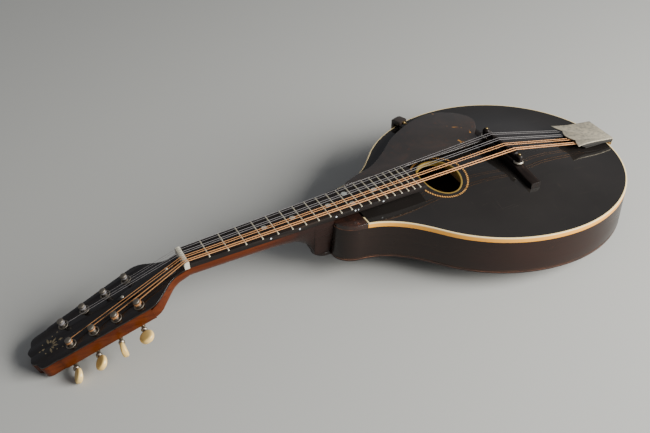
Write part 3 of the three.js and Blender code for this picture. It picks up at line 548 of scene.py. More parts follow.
def mahogany():
    """Red-brown varnished mahogany, shaded to nearly black at the heel."""
    look = Look("mahogany", (0.25, 0.08, 0.04), 0.32, Specular_IOR_Level=0.18)
    bands = look.noise((9, 160, 160), 4.0, 0.55, 0.4)
    pores = look.noise((70, 1500, 1500), 2.0)
    wood = look.ramp(bands, (0.3, (0.056, 0.0105, 0.003)), (0.52, (0.085, 0.0175, 0.0042)),
                     (0.75, (0.12, 0.027, 0.0065)))
    wood = look.mix(look.ramp(pores, (0.6, 0.0), (0.68, 0.75)), wood, (0.03, 0.008, 0.005))
    handled = 0.0
    for course in BUTTON_TURNS:
        key = look.put("ShaderNodeVectorMath", {"operation": "DISTANCE"})
        look.join(look.coordinates.outputs["Object"], key.inputs[0])
        look.join(JOINTS[f"tuner_key_{course}_turn"]["pos_m"], key.inputs[1])
        handled = look.sums("MAXIMUM", handled, look.span(key.outputs["Value"], *KEY_WEAR))
    wood = look.mix(look.times(handled, 0.85), wood, (0.1, 0.022, 0.002))
    shade = look.span(look.axis(0), *HEEL_SHADE)
    shade = look.plus(shade, look.times(look.noise(40.0, 2.0), 0.3))
    heel = look.mix(bands, (0.011, 0.006, 0.005), (0.024, 0.0105, 0.008))
    look.color(look.mix(look.ramp(shade, (0.18, 0.0), (0.95, 1.0)), wood, heel))
    look.roughness(look.span(bands, 0.3, 0.7, 0.24, 0.36))
    return look.bump(pores, 0.12, 0.00015).material


def shoulder_varnish():
    """Black-brown varnish, rubbed to red wood in places."""
    look = Look("shoulder_varnish", (0.02, 0.012, 0.01), 0.2, Specular_IOR_Level=0.5)
    wear = look.noise((60, 60, 90), 5.0, 0.72)
    look.color(look.ramp(wear, (0.42, (0.015, 0.009, 0.0075)), (0.6, (0.03, 0.013, 0.009)),
                         (0.68, (0.15, 0.05, 0.028))))
    return look.bump(wear, 0.1, 0.0002).material


def bare_wood(name, pale, deep, grain=300.0):
    look = Look(name, pale, 0.7)
    lines = look.noise((6, grain, 60), 3.0, 0.5, 0.2)
    fibres = look.noise((40, 2500, 900), 2.0)
    look.color(look.mix(look.ramp(lines, (0.35, 0.0), (0.65, 1.0)), pale, deep))
    return look.bump(fibres, 0.3, 0.0002).material


def ebony(name="ebony", roughness=0.5, direction=(12, 700, 300), shine=0.22):
    """Oiled ebony with fine brown streaks and open pores."""
    look = Look(name, (0.02, 0.017, 0.015), roughness, Specular_IOR_Level=shine)
    streaks = look.noise(direction, 4.0, 0.6)
    pores = look.noise(tuple(4 * c for c in direction), 2.0)
    wood = look.ramp(streaks, (0.35, (0.007, 0.005, 0.0045)), (0.6, (0.012, 0.0085, 0.007)),
                     (0.78, (0.03, 0.018, 0.012)))
    look.color(look.mix(look.ramp(pores, (0.62, 0.0), (0.7, 0.6)), wood, (0.004, 0.0035, 0.003)))
    look.roughness(look.span(streaks, 0.3, 0.7, roughness * 0.8, roughness * 1.2))
    return look.bump(pores, 0.18, 0.00015).material


def celluloid(name, light, amber, grain=(30, 30, 900), roughness=0.28):
    """Aged cream celluloid: grained like ivory, amber where it is thick or handled."""
    look = Look(name, light, roughness, Specular_IOR_Level=0.5)
    lines = look.noise(grain, 3.0, 0.5, 0.3)
    stain = look.noise(55.0, 3.0)
    darker = tuple(0.8 * a + 0.2 * b for a, b in zip(light, amber))
    body = look.mix(look.ramp(lines, (0.35, 0.0), (0.65, 1.0)), light, darker)
    look.color(look.mix(look.ramp(stain, (0.4, 0.0), (0.75, 0.8)), body, amber))
    look.roughness(look.span(stain, 0.3, 0.7, roughness * 0.8, roughness * 1.3))
    return look.bump(lines, 0.05, 0.0001).material


def edge_binding():
    """Cream binding whose lower half has gone amber; scuffs cross its side."""
    look = Look("edge_binding", (0.8, 0.66, 0.4), 0.26, Specular_IOR_Level=0.5)
    height = look.axis(1, "UV")
    stain = look.noise((60, 60, 300), 3.0)
    top = look.mix(stain, (0.9, 0.74, 0.42), (0.8, 0.6, 0.28))
    side = look.mix(stain, (0.9, 0.42, 0.045), (0.78, 0.31, 0.03))
    low = look.plus(height, look.times(stain, 0.06))
    body = look.mix(look.ramp(low, (0.72, 1.0), (0.86, 0.6), (0.98, 0.0)), top, side)
    scuffs = look.noise((90, 90, 1200), 4.0, 0.7)
    look.color(look.mix(look.ramp(scuffs, (0.66, 0.0), (0.72, 0.5)), body, (0.3, 0.17, 0.07)))
    return look.bump(stain, 0.05, 0.0002).material


def pearl(name, color):
    """Mother of pearl with a soft figure of lighter and darker waves."""
    look = Look(name, color, 0.2, Specular_IOR_Level=0.6)
    wave = look.noise(420.0, 2.0, 0.5, 1.5)
    look.color(look.mix(wave, tinted(color, 0.72), tinted(color, 1.3)))
    return look.material


def aged_metal(name, color, dull, roughness=0.36, blotch=160.0, pits=1400.0):
    """Old plate with blotches of tarnish and small pits."""
    look = Look(name, color, roughness, 1.0)
    tarnish = look.noise(blotch, 5.0, 0.65)
    fine = look.noise(blotch * 4, 3.0)
    fog = look.ramp(tarnish, (0.38, 0.0), (0.62, 0.7), (0.75, 1.0))
    look.color(look.mix(fog, look.mix(fine, color, tinted(color, 0.85)), dull))
    look.roughness(look.span(tarnish, 0.3, 0.75, roughness * 0.75, roughness * 1.5))
    dents = look.ramp(look.cells(pits), (0.0, 0.0), (0.12, 1.0))
    return look.bump(dents, 0.12, 0.00008).material


def wound_string(name, color, winding):
    """A wrap wire shows as fine turns along the string (u is in millimetres)."""
    look = Look(name, color, 0.42, 0.35)
    wave = look.put("ShaderNodeTexWave", {"bands_direction": "X"}, Vector=look.place(source="UV"), Scale=winding)
    turns = wave.outputs["Fac"]
    look.color(look.mix(turns, tinted(color, 0.75), tinted(color, 1.12)))
    return look.bump(turns, 0.2, 0.00004).material


def tortoise():
    """Dark mottled celluloid with a few clear amber flecks."""
    look = Look("tortoise", (0.035, 0.018, 0.013), 0.22, Specular_IOR_Level=0.5)
    cloud = look.noise(45.0, 5.0, 0.6, 1.2)
    small = look.noise(210.0, 3.0, 0.6, 0.8)
    body = look.ramp(cloud, (0.4, (0.026, 0.021, 0.018)), (0.6, (0.034, 0.025, 0.021)),
                     (0.75, (0.048, 0.027, 0.02)))
    rusty = look.ramp(small, (0.62, 0.0), (0.72, 0.7))
    body = look.mix(look.times(rusty, 0.5), body, (0.11, 0.037, 0.018))
    flecks = look.noise((95, 52.25, 95), 2.0, 0.5, 0.6, 0.9)
    look.color(look.mix(look.ramp(flecks, (0.7, 0.0), (0.74, 1.0)), body, (0.5, 0.22, 0.035)))
    return look.bump(look.noise(26.0, 1.0), 0.15, 0.0004).material


def matte(name, color, roughness=0.9):
    look = Look(name, color, roughness)
    wear = look.noise(120.0, 3.0)
    look.color(look.mix(wear, tinted(color, 0.75), tinted(color, 1.2)))
    return look.material


LACQUER = lacquer()
GLOSS_BLACK = lacquer("black_celluloid", (0.012, 0.011, 0.011), 0.12)
RIM = shaded_rim()
WORN = worn_edge()
MAHOGANY = mahogany()
SHOULDER_VARNISH = shoulder_varnish()
SPRUCE = bare_wood("spruce", (0.52, 0.36, 0.19), (0.4, 0.25, 0.12), 700.0)
INSIDE = bare_wood("inside_wood", (0.16, 0.085, 0.045), (0.1, 0.05, 0.026))
EBONY = ebony()
FACE_EBONY = ebony("face_ebony", 0.14, (10, 500, 500), 0.5)
BRIDGE_EBONY = ebony("bridge_ebony", 0.38, (400, 14, 300), 0.12)
BINDING = edge_binding()
IVOROID = celluloid("ivoroid", (0.82, 0.58, 0.22), (0.74, 0.46, 0.12))
# Painted shade: the soundhole's binding is the same cream celluloid, made much darker.
SHADED_HOLE_IVOROID = celluloid("hole_ivoroid_painted_shade", (0.3, 0.2, 0.045), (0.2, 0.12, 0.025), (900, 900, 40))
BONE = celluloid("bone", (0.56, 0.53, 0.43), (0.45, 0.4, 0.29), (200, 200, 600), 0.4)
INLAY_PEARL = pearl("inlay_pearl", (0.2, 0.155, 0.085))
DOT_PEARL = pearl("dot_pearl", (0.3, 0.32, 0.29))
SIDE_DOT = matte("side_dot", (0.72, 0.76, 0.8), 0.4)
NICKEL = aged_metal("aged_nickel", (0.74, 0.7, 0.61), (0.5, 0.45, 0.35), 0.42)
DARK_NICKEL = aged_metal("dull_nickel", (0.5, 0.45, 0.37), (0.16, 0.12, 0.08), 0.4, 500.0)
FRET_WIRE = matte("fret_wire", (0.42, 0.38, 0.28), 0.35)
STEEL = aged_metal("post_steel", (0.3, 0.27, 0.23), (0.18, 0.15, 0.11), 0.5, 400.0)
BRASS = aged_metal("brass", (0.42, 0.3, 0.12), (0.2, 0.13, 0.05), 0.45, 400.0)
PLAIN_STRING = matte("plain_string", (0.2, 0.185, 0.185), 0.5)
WOUND_STRING = wound_string("wound_string", (0.5, 0.24, 0.095), 0.62)
TORTOISE = tortoise()
INLAY_LIGHT = matte("inlay_light", (0.62, 0.33, 0.09), 0.35)
TAIL_METAL = aged_metal("tail_metal", (0.62, 0.57, 0.46), (0.46, 0.41, 0.31), 0.62, 260.0)
INLAY_DARK = matte("inlay_dark", (0.09, 0.035, 0.015), 0.35)
# Painted shade: a dark matte for the screws' slots, the tailpiece cover's lower flanges and the tailpiece base's
# shelf.
PAINTED_SHADE = matte("painted_shade", (0.02, 0.018, 0.015), 0.8)


# ------------------------------------------------------------------ body outline and arch
def treble_outline():
    """The treble half of the body's plan, from the neck to the tail."""
    flank = (FLANK_X * math.cos(FLANK_END), WIDE * math.sin(FLANK_END))
    reach = (SHOULDER[0] - NECK_FACE[0], SHOULDER[1] - NECK_FACE[1])
    points = arc(SHOULDER[0], NECK_FACE[1], *reach, PI, PI / 2, 12)
    points += bezier(SHOULDER, (-149, 36.6), (-130.3, 60), flank, 22)
    points += arc(0, 0, FLANK_X, WIDE, FLANK_END, PI / 2, 26)
    points += arc(0, 0, TAIL_X, WIDE, PI / 2, 0, 40)
    return clean(points, False)


def mirrored(half):
    return half + [(x, -y) for x, y in reversed(half) if abs(y) > 0.01]


OUTLINE = mirrored(treble_outline())
PLATE_FRONT = BINDING_X + BINDING_WALL + GAP


def cut_front(points, limit):
    """An outline's points behind a limit in x, with the crossing points added."""
    kept = []
    for p, q in zip(points, points[1:] + points[:1]):
        if p[0] >= limit:
            kept.append(p)
        if (p[0] - limit) * (q[0] - limit) < 0:
            t = (limit - p[0]) / (q[0] - p[0])
            kept.append((limit, p[1] + (q[1] - p[1]) * t))
    first = next(i for i, p in enumerate(kept) if p[1] > 0 and abs(p[0] - limit) < 1e-6)
    return kept[first:] + kept[:first]


PLATE_LOOP = cut_front(grow(OUTLINE, -(BINDING_WALL + 0.05)), PLATE_FRONT)
CAD_LOOP = cut_front(grow(OUTLINE, -(BINDING_WALL + GAP)), PLATE_FRONT)


def edge_distance(points, loop):
    """Distance from each point to the nearest part of a closed outline."""
    p = np.array(points, float)[:, None, :2]
    a = np.array(loop, float)[None]
    b = np.roll(a, -1, 1)
    t = (((p - a) * (b - a)).sum(2) / ((b - a) ** 2).sum(2)).clip(0, 1)
    return np.sqrt(((a + (b - a) * t[..., None] - p) ** 2).sum(2)).min(1)


def arch(points, loop=CAD_LOOP, height=TOP_ARCH):
    reach = np.minimum(edge_distance(points, loop) / ARCH_REACH, 1)
    return height * (0.5 - 0.5 * np.cos(PI * reach)) ** 1.2


def top_at(x, y):
    return float(arch([(x, y)])[0])


# ------------------------------------------------------------------ body pieces
def top_plate():
    """Carved top: lacquered outside, bare spruce inside, with the soundhole's edge."""
    y = PLATE_LOOP[0][1]
    front = [(PLATE_FRONT, k * y) for k in np.linspace(-0.94, 0.94, 17)]
    outline = PLATE_LOOP + front
    stations = np.linspace(0, 1, 34) ** 1.15
    spots = []
    for x, py in outline:
        a = math.atan2(py, x - HOLE_X)
        reach = 1 / math.hypot(math.cos(a) / (HOLE_RX + HOLE_RING), math.sin(a) / (HOLE_RY + HOLE_RING))
        inner = (HOLE_X + reach * math.cos(a), reach * math.sin(a))
        spots += [(x + (inner[0] - x) * t, py + (inner[1] - py) * t) for t in stations]
    heights = arch(spots)
    shape = Shape()
    n, m = len(outline), len(stations)
    shape.verts = [(x, py, z) for (x, py), z in zip(spots, heights)]
    shape.verts += [(x, py, z - EDGE + 0.08 * z) for (x, py), z in zip(spots, heights)]
    low = n * m
    for i in range(n):
        k = (i + 1) % n
        for j in range(m - 1):
            upper = (i * m + j, i * m + j + 1, k * m + j + 1, k * m + j)
            shape.face(upper)
            shape.face([low + v for v in upper], 1)
        shape.face((i * m, k * m, low + k * m, low + i * m))
        shape.face((i * m + m - 1, k * m + m - 1, low + k * m + m - 1, low + i * m + m - 1))
    build("top_plate_carved", shape, BODY, [LACQUER, SPRUCE], stands_for=["top_plate"])


def edge_binding_strip():
    """Binding round the top, with a short leg at each side of the fingerboard."""
    outer = cut_front(OUTLINE, BINDING_X)
    path = [(BINDING_X, LEG)] + [(BINDING_X, LEG + (outer[0][1] - LEG) * k) for k in (0.3, 0.6, 0.9)]
    path += outer + [(x, -y) for x, y in reversed(path)]
    path = clean(path, False)
    closed = path + [(BINDING_X + 40, -LEG), (BINDING_X + 40, LEG)]
    count = len(path)
    rings = []
    section = [(0, -EDGE), (0, -1.0), (0.08, -0.45), (0.3, -0.12), (0.7, 0.02), (BINDING_WALL, 0.03),
               (BINDING_WALL, -EDGE)]
    layers = {inwards: grow(closed, -inwards) if inwards else closed for inwards, _ in section}
    for i in range(count):
        rings.append([(*layers[inwards][i], z) for inwards, z in section])
    shape = loft(rings)
    heights = {j: 1 + z / EDGE for j, (_, z) in enumerate(section)}
    n = len(section)
    for f, face in enumerate(shape.faces[:-2]):
        shape.uvs[f] = [(u, max(heights[v % n], 0)) for (u, _), v in zip(shape.uvs[f], face)]
    build("top_binding_strip", shape, BODY, BINDING, stands_for=["top_binding"])


def hole_binding():
    """Strip in the soundhole's edge, following the arch, with rounded corners."""
    turns = np.linspace(0, 2 * PI, 121)[:-1]
    wall = HOLE_RING - 0.02
    section = [(0, -EDGE), (0, -0.35), (0.1, -0.08), (0.35, 0.05), (wall - 0.28, 0.06), (wall, 0.0),
               (wall, -EDGE)]
    rings = []
    for a in turns:
        spots = [(HOLE_X + (HOLE_RX + g) * math.cos(a), (HOLE_RY + g) * math.sin(a)) for g, _ in section]
        rings.append([(x, y, h + z) for (x, y), h, (_, z) in zip(spots, arch(spots), section)])
    build("soundhole_binding_strip", loft(rings, looped=True), BODY, SHADED_HOLE_IVOROID,
          stands_for=["soundhole_binding"])


def hole_ring():
    """Rope-pattern wood inlay round the soundhole, level with the lacquer."""
    count, lean = 150, 0.035
    inner, outer = (25.6, 34.6), (27.4, 36.4)
    shape = Shape()
    for i in range(count):
        a, b = 2 * PI * i / count, 2 * PI * (i + 1) / count
        corners = []
        for radius, turn in ((inner, a), (outer, a + lean), (outer, b + lean), (inner, b)):
            corners.append((HOLE_X + radius[0] * math.cos(turn), radius[1] * math.sin(turn)))
        first = len(shape.verts)
        heights = arch(corners)
        shape.verts += [(x, y, h + 0.07) for (x, y), h in zip(corners, heights)]
        shape.verts += [(x, y, h - 0.5) for (x, y), h in zip(corners, heights)]
        for face in ((0, 1, 2, 3), (7, 6, 5, 4), (0, 4, 5, 1), (1, 5, 6, 2), (2, 6, 7, 3), (3, 7, 4, 0)):
            shape.face([first + v for v in face], i % 2)
    build("soundhole_ring_inlay", shape, BODY, [INLAY_LIGHT, INLAY_DARK], sharp=20)


def sides():
    """Bent sides, each with a small radius at its lower edge."""
    low, high = BACK_EDGE - RIM_DEPTH + 0.12, -EDGE - 0.06
    for name, side in SIDES:
        half = treble_outline()
        loop = mirrored(half)
        count = len(half)
        section = [(0.25, low), (0.06, low + 0.15), (0, low + 0.5)]
        section += [(0, low + (high - low) * k) for k in (0.33, 0.66, 1)]
        section += [(RIM_WALL, high), (RIM_WALL, low)]
        layers = [grow(loop, -inwards) if inwards else loop for inwards, _ in section]
        rings = []
        for i in range(count):
            place = [layers[k][i] for k in range(len(section))]
            rings.append([(x, side * max(y, 0.02), z) for (x, y), (_, z) in zip(place, section)])
        shape = loft(rings)
        for f, face in enumerate(shape.faces[:-2]):
            places = {v % len(section) for v in face}
            if not places & {1, 2} and places & {6, 7}:
                shape.paints[f] = 1
        build(f"rim_{name}_bent", shape, BODY, [RIM, INSIDE], stands_for=[f"rim_{name}"])


def back_plate():
    """Carved back with a rounded edge, and the button under the heel."""
    base = -RIM_DEPTH
    stations = list(np.linspace(0.06, 1, 26))
    rings, paints = [], []
    for t in stations:
        spots = [(x * t, y * t) for x, y in OUTLINE]
        heights = arch(spots, OUTLINE, BACK_ARCH)
        rings.append([(x, y, base + BACK_EDGE - h) for (x, y), h in zip(spots, heights)])
        paints.append(1)
    top = base + BACK_EDGE
    edge = ((0.05, top, 0), (0.0, top - 0.1, 0), (0.0, base + 2.9, 0), (0.12, base + 2.6, 2),
            (0.0, base + 2.2, 2), (0.0, base + 1.4, 0), (0.25, base + 0.7, 0), (0.8, base + 0.2, 0))
    for inwards, z, paint in edge:
        points = grow(OUTLINE, -inwards) if inwards else OUTLINE
        rings.append([(x, y, z) for x, y in points])
        paints.append(paint)
    for t in reversed(stations[:-1]):
        spots = [(x * t, y * t) for x, y in OUTLINE]
        heights = arch(spots, OUTLINE, BACK_ARCH - 0.5)
        rings.append([(x, y, base - h) for (x, y), h in zip(spots, heights)])
        paints.append(0)
    shape = loft(rings)
    count = len(OUTLINE)
    for f in range(len(shape.faces) - 2):
        shape.paints[f] = paints[f // count + 1]
    shape.paints[-2] = 1
    x, y = NECK_FACE[0] + 2, 11
    button = [(x, -y)] + arc(x - 7, 0, y, y, -PI / 2, -3 * PI / 2, 24) + [(x, y)]
    shape.add(slab(button, base + 0.02, top - 0.02, bevel=0.7, steps=3))
    build("back_plate_carved", shape, BODY, [RIM, INSIDE, WORN], stands_for=["back_plate"])


def nose_plan(inset, limit):
    """The body's nose in front of a limit in x."""
    loop = grow(OUTLINE, -inset) if inset else OUTLINE
    front = [p for p in loop if p[0] < limit]
    treble = sorted((p for p in front if p[1] > 0), key=lambda p: p[0] + 0.001 * p[1])
    bass = [(x, -y) for x, y in treble]
    y = treble[-1][1]
    return list(reversed(bass)) + treble + [(limit, y), (limit, -y)]


def head_block():
    """Block inside the nose, and the rounded shoulders in front of the binding."""
    low = BACK_EDGE - RIM_DEPTH
    shape = slab(nose_plan(RIM_WALL + GAP, -152), low + GAP, -EDGE - GAP, bevel=0.2, paint=1)
    shape.add(slab(nose_plan(0.02, BINDING_X - 0.05), -EDGE + 0.45, 0.05, bevel=0.5, steps=4))
    shape.add(slab(nose_plan(0.0, BINDING_X - 0.05), -EDGE - 0.02, -EDGE + 0.45, bevel=0, paint=2))
    build("head_block_shoulders", shape, BODY, [SHOULDER_VARNISH, INSIDE, WORN],
          stands_for=["head_block"])


# ------------------------------------------------------------------ neck and peghead
def board_half(x):
    return (NUT_WIDTH + (BOARD_WIDTH - NUT_WIDTH) * x / BOARD_END) / 2


def head_plan():
    """Outline of the peghead's face, from the nut to its tip."""
    half = [(0, 13.2), (-6, 13)]
    half += bezier((-6, 13), (-22, 13), (-28, 31), (-44, 31), 28)
    half += quadratic((-132.5, 23.2), (-135, 22.9), (-136.5, 21.8), 5)
    half += quadratic((-147, 21.4), (-153.5, 20.8), (-154.4, 16), 14)
    half += quadratic((-155.4, 12), (-161, 8.5), (-159.6, 4.6), 14)
    half += quadratic((-159.6, 4.6), (-159, 1), (-157.4, 0), 6)
    return clean(mirrored(half))


def post_place(side, k):
    """Where post k stands in the peghead's face. The two rows close in towards the tip."""
    along = FIRST_POST + k * POST_PITCH * math.cos(POST_TAPER)
    return -along, side * (POST_ROW - k * POST_PITCH * math.sin(POST_TAPER))


def face_holes(radius):
    return [ring(*post_place(side, k), radius) for side in (1, -1) for k in range(4)]


# The neck's sections. Throat: distance, half width, depth and roundness. Shaft: distance and depth.
THROAT = [(-46, 30.8, 12.85, 0.04), (-40, 30.6, 12.85, 0.07), (-36, 29.5, 12.8, 0.12),
          (-33.6, 28.1, 12.8, 0.16), (-25, 21.9, 12.7, 0.32), (-16.4, 15.7, 12.9, 0.52), (-8, 13, 13.6, 0.7)]
SHAFT = [(0, 14.4), (30, 14.5), (60, 14.8), (85, 15.6), (100, 17.4), (110, 20.2), (118, 25), (123, 30.5),
         (126, 37), (128.5, 43), (150, 47)]


def eased(rows, count):
    """Rows of numbers interpolated smoothly (Catmull-Rom) with count steps in each span."""
    rows = [rows[0]] + list(rows) + [rows[-1]]
    smooth = []
    for a, b, c, d in zip(rows, rows[1:], rows[2:], rows[3:]):
        for i in range(count):
            t = i / count
            smooth.append(tuple(0.5 * (2 * q + (r - p) * t + (2 * p - 5 * q + 4 * r - s) * t * t
                                       + (3 * q - p - 3 * r + s) * t ** 3) for p, q, r, s in zip(a, b, c, d)))
    return smooth + [rows[-1]]


def section_ring(place, x, half, roof, depth, bend):
    """Rounded section of the neck, narrower at its lower end where it nears the heel."""
    ring_points = []
    for a in np.linspace(0, PI, 41):
        deep = math.sin(a) ** bend
        wide = abs(math.cos(a)) ** min(bend + 0.3, 1)
        tapered = (1 - HEEL_TAPER * deep) * min(1, 5 * abs(math.cos(a)))
        wide += (tapered - wide) * min(max((x - HEEL_START) / HEEL_RUN, 0), 1)
        ring_points.append(place @ Vector((x, math.copysign(half * wide, math.cos(a)), roof - depth * deep)))
    return ring_points


def neck():
    """Neck, heel and peghead core. The throat runs on into the peghead's sides."""
    throat, shaft = [], []
    for x, half, depth, bend in eased(THROAT, 3):
        throat.append(section_ring(HEAD_IN_NECK, x, half, -VENEER - 0.05, depth, bend))
    for x, depth in eased(SHAFT, 4):
        shaft.append(section_ring(Matrix(), x, board_half(x) - 0.1, -BOARD - 0.05, depth, 0.75))
    plan = clean([(min(x, -44), y) for x, y in head_plan()])
    core = slab(plan, -HEAD_THICK, -VENEER - 0.02, face_holes(3.6), bevel=0.8, steps=3)
    core.add(loft(throat[:-1] + shaft), HEAD_IN_NECK.inverted())
    end = BOARD_END - 16
    low = [(NECK_FACE[0] - 2, 0.4), (BINDING_X, 0.4), (-150, 2.9), (NECK_PLACE[0] + end, 6.4)]
    thing = build("neck_and_peghead", core, HEAD, MAHOGANY, stands_for=["neck"])
    trim_heel(thing)
    tongue_piece(low, end)


def trim_heel(thing):
    """Cuts the heel flush with the front of the body and the top of the back's button."""
    form = bmesh.new()
    form.from_mesh(thing.data)
    for point, normal in (((NECK_FACE[0] - 0.02, 0, 0), (1, 0, 0)),
                          ((0, 0, BACK_EDGE - RIM_DEPTH + 0.02), (0, 0, -1))):
        where = BODY @ Vector(point)
        way = (BODY.to_3x3() @ Vector(normal)).normalized()
        before = {v for v in form.verts if (BODY.inverted() @ v.co).x > NECK_FACE[0] - 70}
        faces = [f for f in form.faces if any(v in before for v in f.verts)]
        edges = {e for f in faces for e in f.edges}
        verts = {v for f in faces for v in f.verts}
        part = faces + list(edges) + list(verts)
        cut = bmesh.ops.bisect_plane(form, geom=part, plane_co=where, plane_no=way, clear_outer=True)
        rim = [g for g in cut["geom_cut"] if isinstance(g, bmesh.types.BMEdge)]
        bmesh.ops.holes_fill(form, edges=rim)
    bmesh.ops.recalc_face_normals(form, faces=form.faces)
    form.to_mesh(thing.data)
    form.free()
    thing.data.set_sharp_from_angle(angle=math.radians(35))


def tongue_piece(low, end):
    """The neck's tongue between the fingerboard and the top."""
    upper = [NECK_IN_BODY @ Vector((x, 0, -BOARD - 0.05)) for x in (end, SCALE + NECK_FACE[0] - 2)]
    side = slab(low + [(v.x, v.z) for v in upper], -8, 8, bevel=0.2)
    build("neck_tongue", side.moved(FROM_SIDE), BODY, EBONY)


def fret_place(n):
    return SCALE * (1 - 2 ** (-n / 12))


def fingerboard():
    """Ebony board with its frets, pearl dots and side dots."""
    outline = [(0.1, 1), (BOARD_END, 1), (BOARD_END, -1), (0.1, -1)]
    shape = slab([(x, side * board_half(x)) for x, side in outline], -BOARD, 0, bevel=0.35)
    build("fingerboard_ebony", shape, NECK, EBONY, stands_for=["fingerboard"])
    wires = Shape()
    crown = [(-0.8, -0.3), (-0.8, 0.1), (-0.62, 0.5), (-0.32, 0.75), (0, 0.82), (0.32, 0.75), (0.62, 0.5),
             (0.8, 0.1), (0.8, -0.3)]
    for n in range(1, FRETS + 1):
        x, half = fret_place(n), board_half(fret_place(n))
        rings = []
        ends = ((half + 0.05, 0.1), (half - 0.25, 0.7), (half - 0.7, 1))
        for y, k in [(-y, k) for y, k in ends] + list(reversed(ends)):
            rings.append([(x + px, y, pz * k if pz > 0 else pz) for px, pz in crown])
        wires.add(loft(rings))
    build("frets", wires, NECK, FRET_WIRE)
    dots, side_dots = Shape(), Shape()
    for n, spread in ((5, (0,)), (7, (0,)), (10, (0,)), (12, (-9.2, 9.2)), (15, (0,))):
        x = (fret_place(n - 1) + fret_place(n)) / 2
        for y in spread:
            dots.add(lathe([(0, 0.04), (2.75, 0.04), (3.0, 0.0), (3.0, -0.6), (0, -0.6)], 28), shift(x, y, 0))
        spot = lathe([(0, 0.06), (0.8, 0.05), (0.95, -0.5), (0, -0.5)], 16)
        for k in spread:
            out = shift(x + 1.8 * np.sign(k), -board_half(x), -2.3) @ FROM_SIDE
            side_dots.add(spot, out)
    build("position_dots", dots, NECK, DOT_PEARL)
    build("side_dots", side_dots, NECK, SIDE_DOT)


def nut():
    """Bone nut with a rounded crown and eight string slots."""
    half, back = NUT_WIDTH / 2 + 0.25, -NUT_LENGTH + 0.1
    slots = []
    for diameter, y, *_ in COURSES.values():
        slots += [(y - PAIR["nut"], diameter), (y + PAIR["nut"], diameter)]
    marks = {round(-half, 3), round(half, 3), round(-half + 0.5, 3), round(half - 0.5, 3)}
    for y, d in slots:
        marks |= {round(y + k * (d / 2 + 0.12), 3) for k in (-1.5, -1, -0.5, 0, 0.5, 1, 1.5)}
    rings = []
    for y in sorted(marks):
        deep = 0.0
        for sy, d in slots:
            gap = abs(y - sy) / (d / 2 + 0.12)
            if gap < 1.4:
                deep = max(deep, 0.62 * (1 - gap ** 2 / 2))
        end = 0.6 if abs(y) > half - 0.1 else 0
        front, rear = 2.0 - deep - end, 1.15 - deep - end
        rings.append([(x, y, z) for x, z in ((back, -BOARD + 0.05), (back, rear - 0.5), (back + 0.4, rear),
                                             (-2.2, front + 0.02), (-0.5, front), (-0.05, front - 0.4),
                                             (-0.05, -BOARD + 0.05))])
    build("nut_bone", loft(rings), NECK, BONE, stands_for=["nut"], sharp=25)


def peghead_face():
    """Ebony face with holes for the posts and a pocket for the rod's nut."""
    plan = [(min(x, -0.4), y) for x, y in head_plan()]
    rod_pocket = [(-3.4, -5), (-3.4, 5), (-12.4, 5), (-12.4, -5)]
    shape = slab(plan, -VENEER, 0, face_holes(4.4) + [rod_pocket], bevel=0.3)
    build("peghead_face", shape, HEAD, FACE_EBONY, stands_for=["peghead_veneer"])


def bell_plan():
    half = bezier((-8, 10), (-20, 12), (-26, 7), (-38, 6.5), 16)
    half += bezier((-38, 6.5), (-50, 6.5), (-60, 6), (-67, 0), 16)
    front = quadratic((-8, -10), (-6, 0), (-8, 10), 12)
    return clean(front + mirrored(half))


def rod_cover():
    """Bell-shaped cover over the truss rod's nut, and its two screws."""
    shape = slab(bell_plan(), 0.02, 2.2, [ring(x, 0, 1.3) for x in COVER_SCREWS], bevel=0.55, steps=3)
    build("truss_rod_cover_plate", shape, HEAD, GLOSS_BLACK,
          stands_for=["truss_rod_cover"])
    for number, x in enumerate(COVER_SCREWS):
        place = HEAD @ shift(x, 0, 2.3) @ spin(35 + 70 * number, "Z")
        name = f"cover_screw_{number + 1}"
        looks = [NICKEL, PAINTED_SHADE]
        build(f"{name}_round", screw(1.7, 1.0, 6), place, looks, stands_for=[name])


def screw(radius, height, length):
    """Round-headed slotted screw; its head's seat is at z = 0."""
    dome = [(radius * math.sin(a), height * math.cos(a)) for a in np.linspace(0.0, 1.35, 8)]
    core, half, wide = 0.4 * radius, 0.82 * radius, 0.17 * radius
    shape = lathe(dome + [(radius, 0.0), (core, -0.1), (core, -length * 0.7), (0, -length)], 20)
    # The slot is a dark sheet laid on the crown: painted shade where a real slot would be in shadow.
    slot = slab([(-half, -wide), (half, -wide), (half, wide), (-half, wide)], height * 0.45, height * 0.98,
                bevel=0, paint=1)

    def crowned(x, y, z):
        return (x, y, z if z < height * 0.6 else height * (1 - 0.42 * (x / half) ** 2) + 0.015)

    return shape.add(slot.bent(crowned))


def leaf(length, width, count=10):
    half = [(length * k / count, width * math.sin(PI * k / count) ** 0.8) for k in range(count + 1)]
    return clean([(x, y) for x, y in half] + [(x, -y) for x, y in reversed(half[1:-1])])


def inlay():
    """A small spray of pearl diamonds and leaves at the peghead's end."""
    shape = Shape()
    stem = shift(-139, 0, 0)
    for k in range(7):
        reach, turn = (9.5, 6.6)[k % 2], -90 + 30 * k
        shape.add(slab(leaf(reach - 3, 1.0), -0.3, 0.05, bevel=0), stem @ spin(turn, "Z") @ shift(3, 0, 0))
    for x, size in ((-127.5, 2.2), (-132.5, 1.4), (-145.5, 1.8), (-149, 1.1)):
        diamond = [(size, 0), (0, size * 0.62), (-size, 0), (0, -size * 0.62)]
        shape.add(slab(diamond, -0.3, 0.05, bevel=0), shift(x, 0, 0))
    for side in (-1, 1):
        for k in range(4):
            dot = ring(-128 - 5.5 * k, side * (10.4 - 1.5 * k), 0.7, count=10)
            shape.add(slab(dot, -0.3, 0.05, bevel=0))
    build("peghead_inlay", shape, HEAD, INLAY_PEARL)


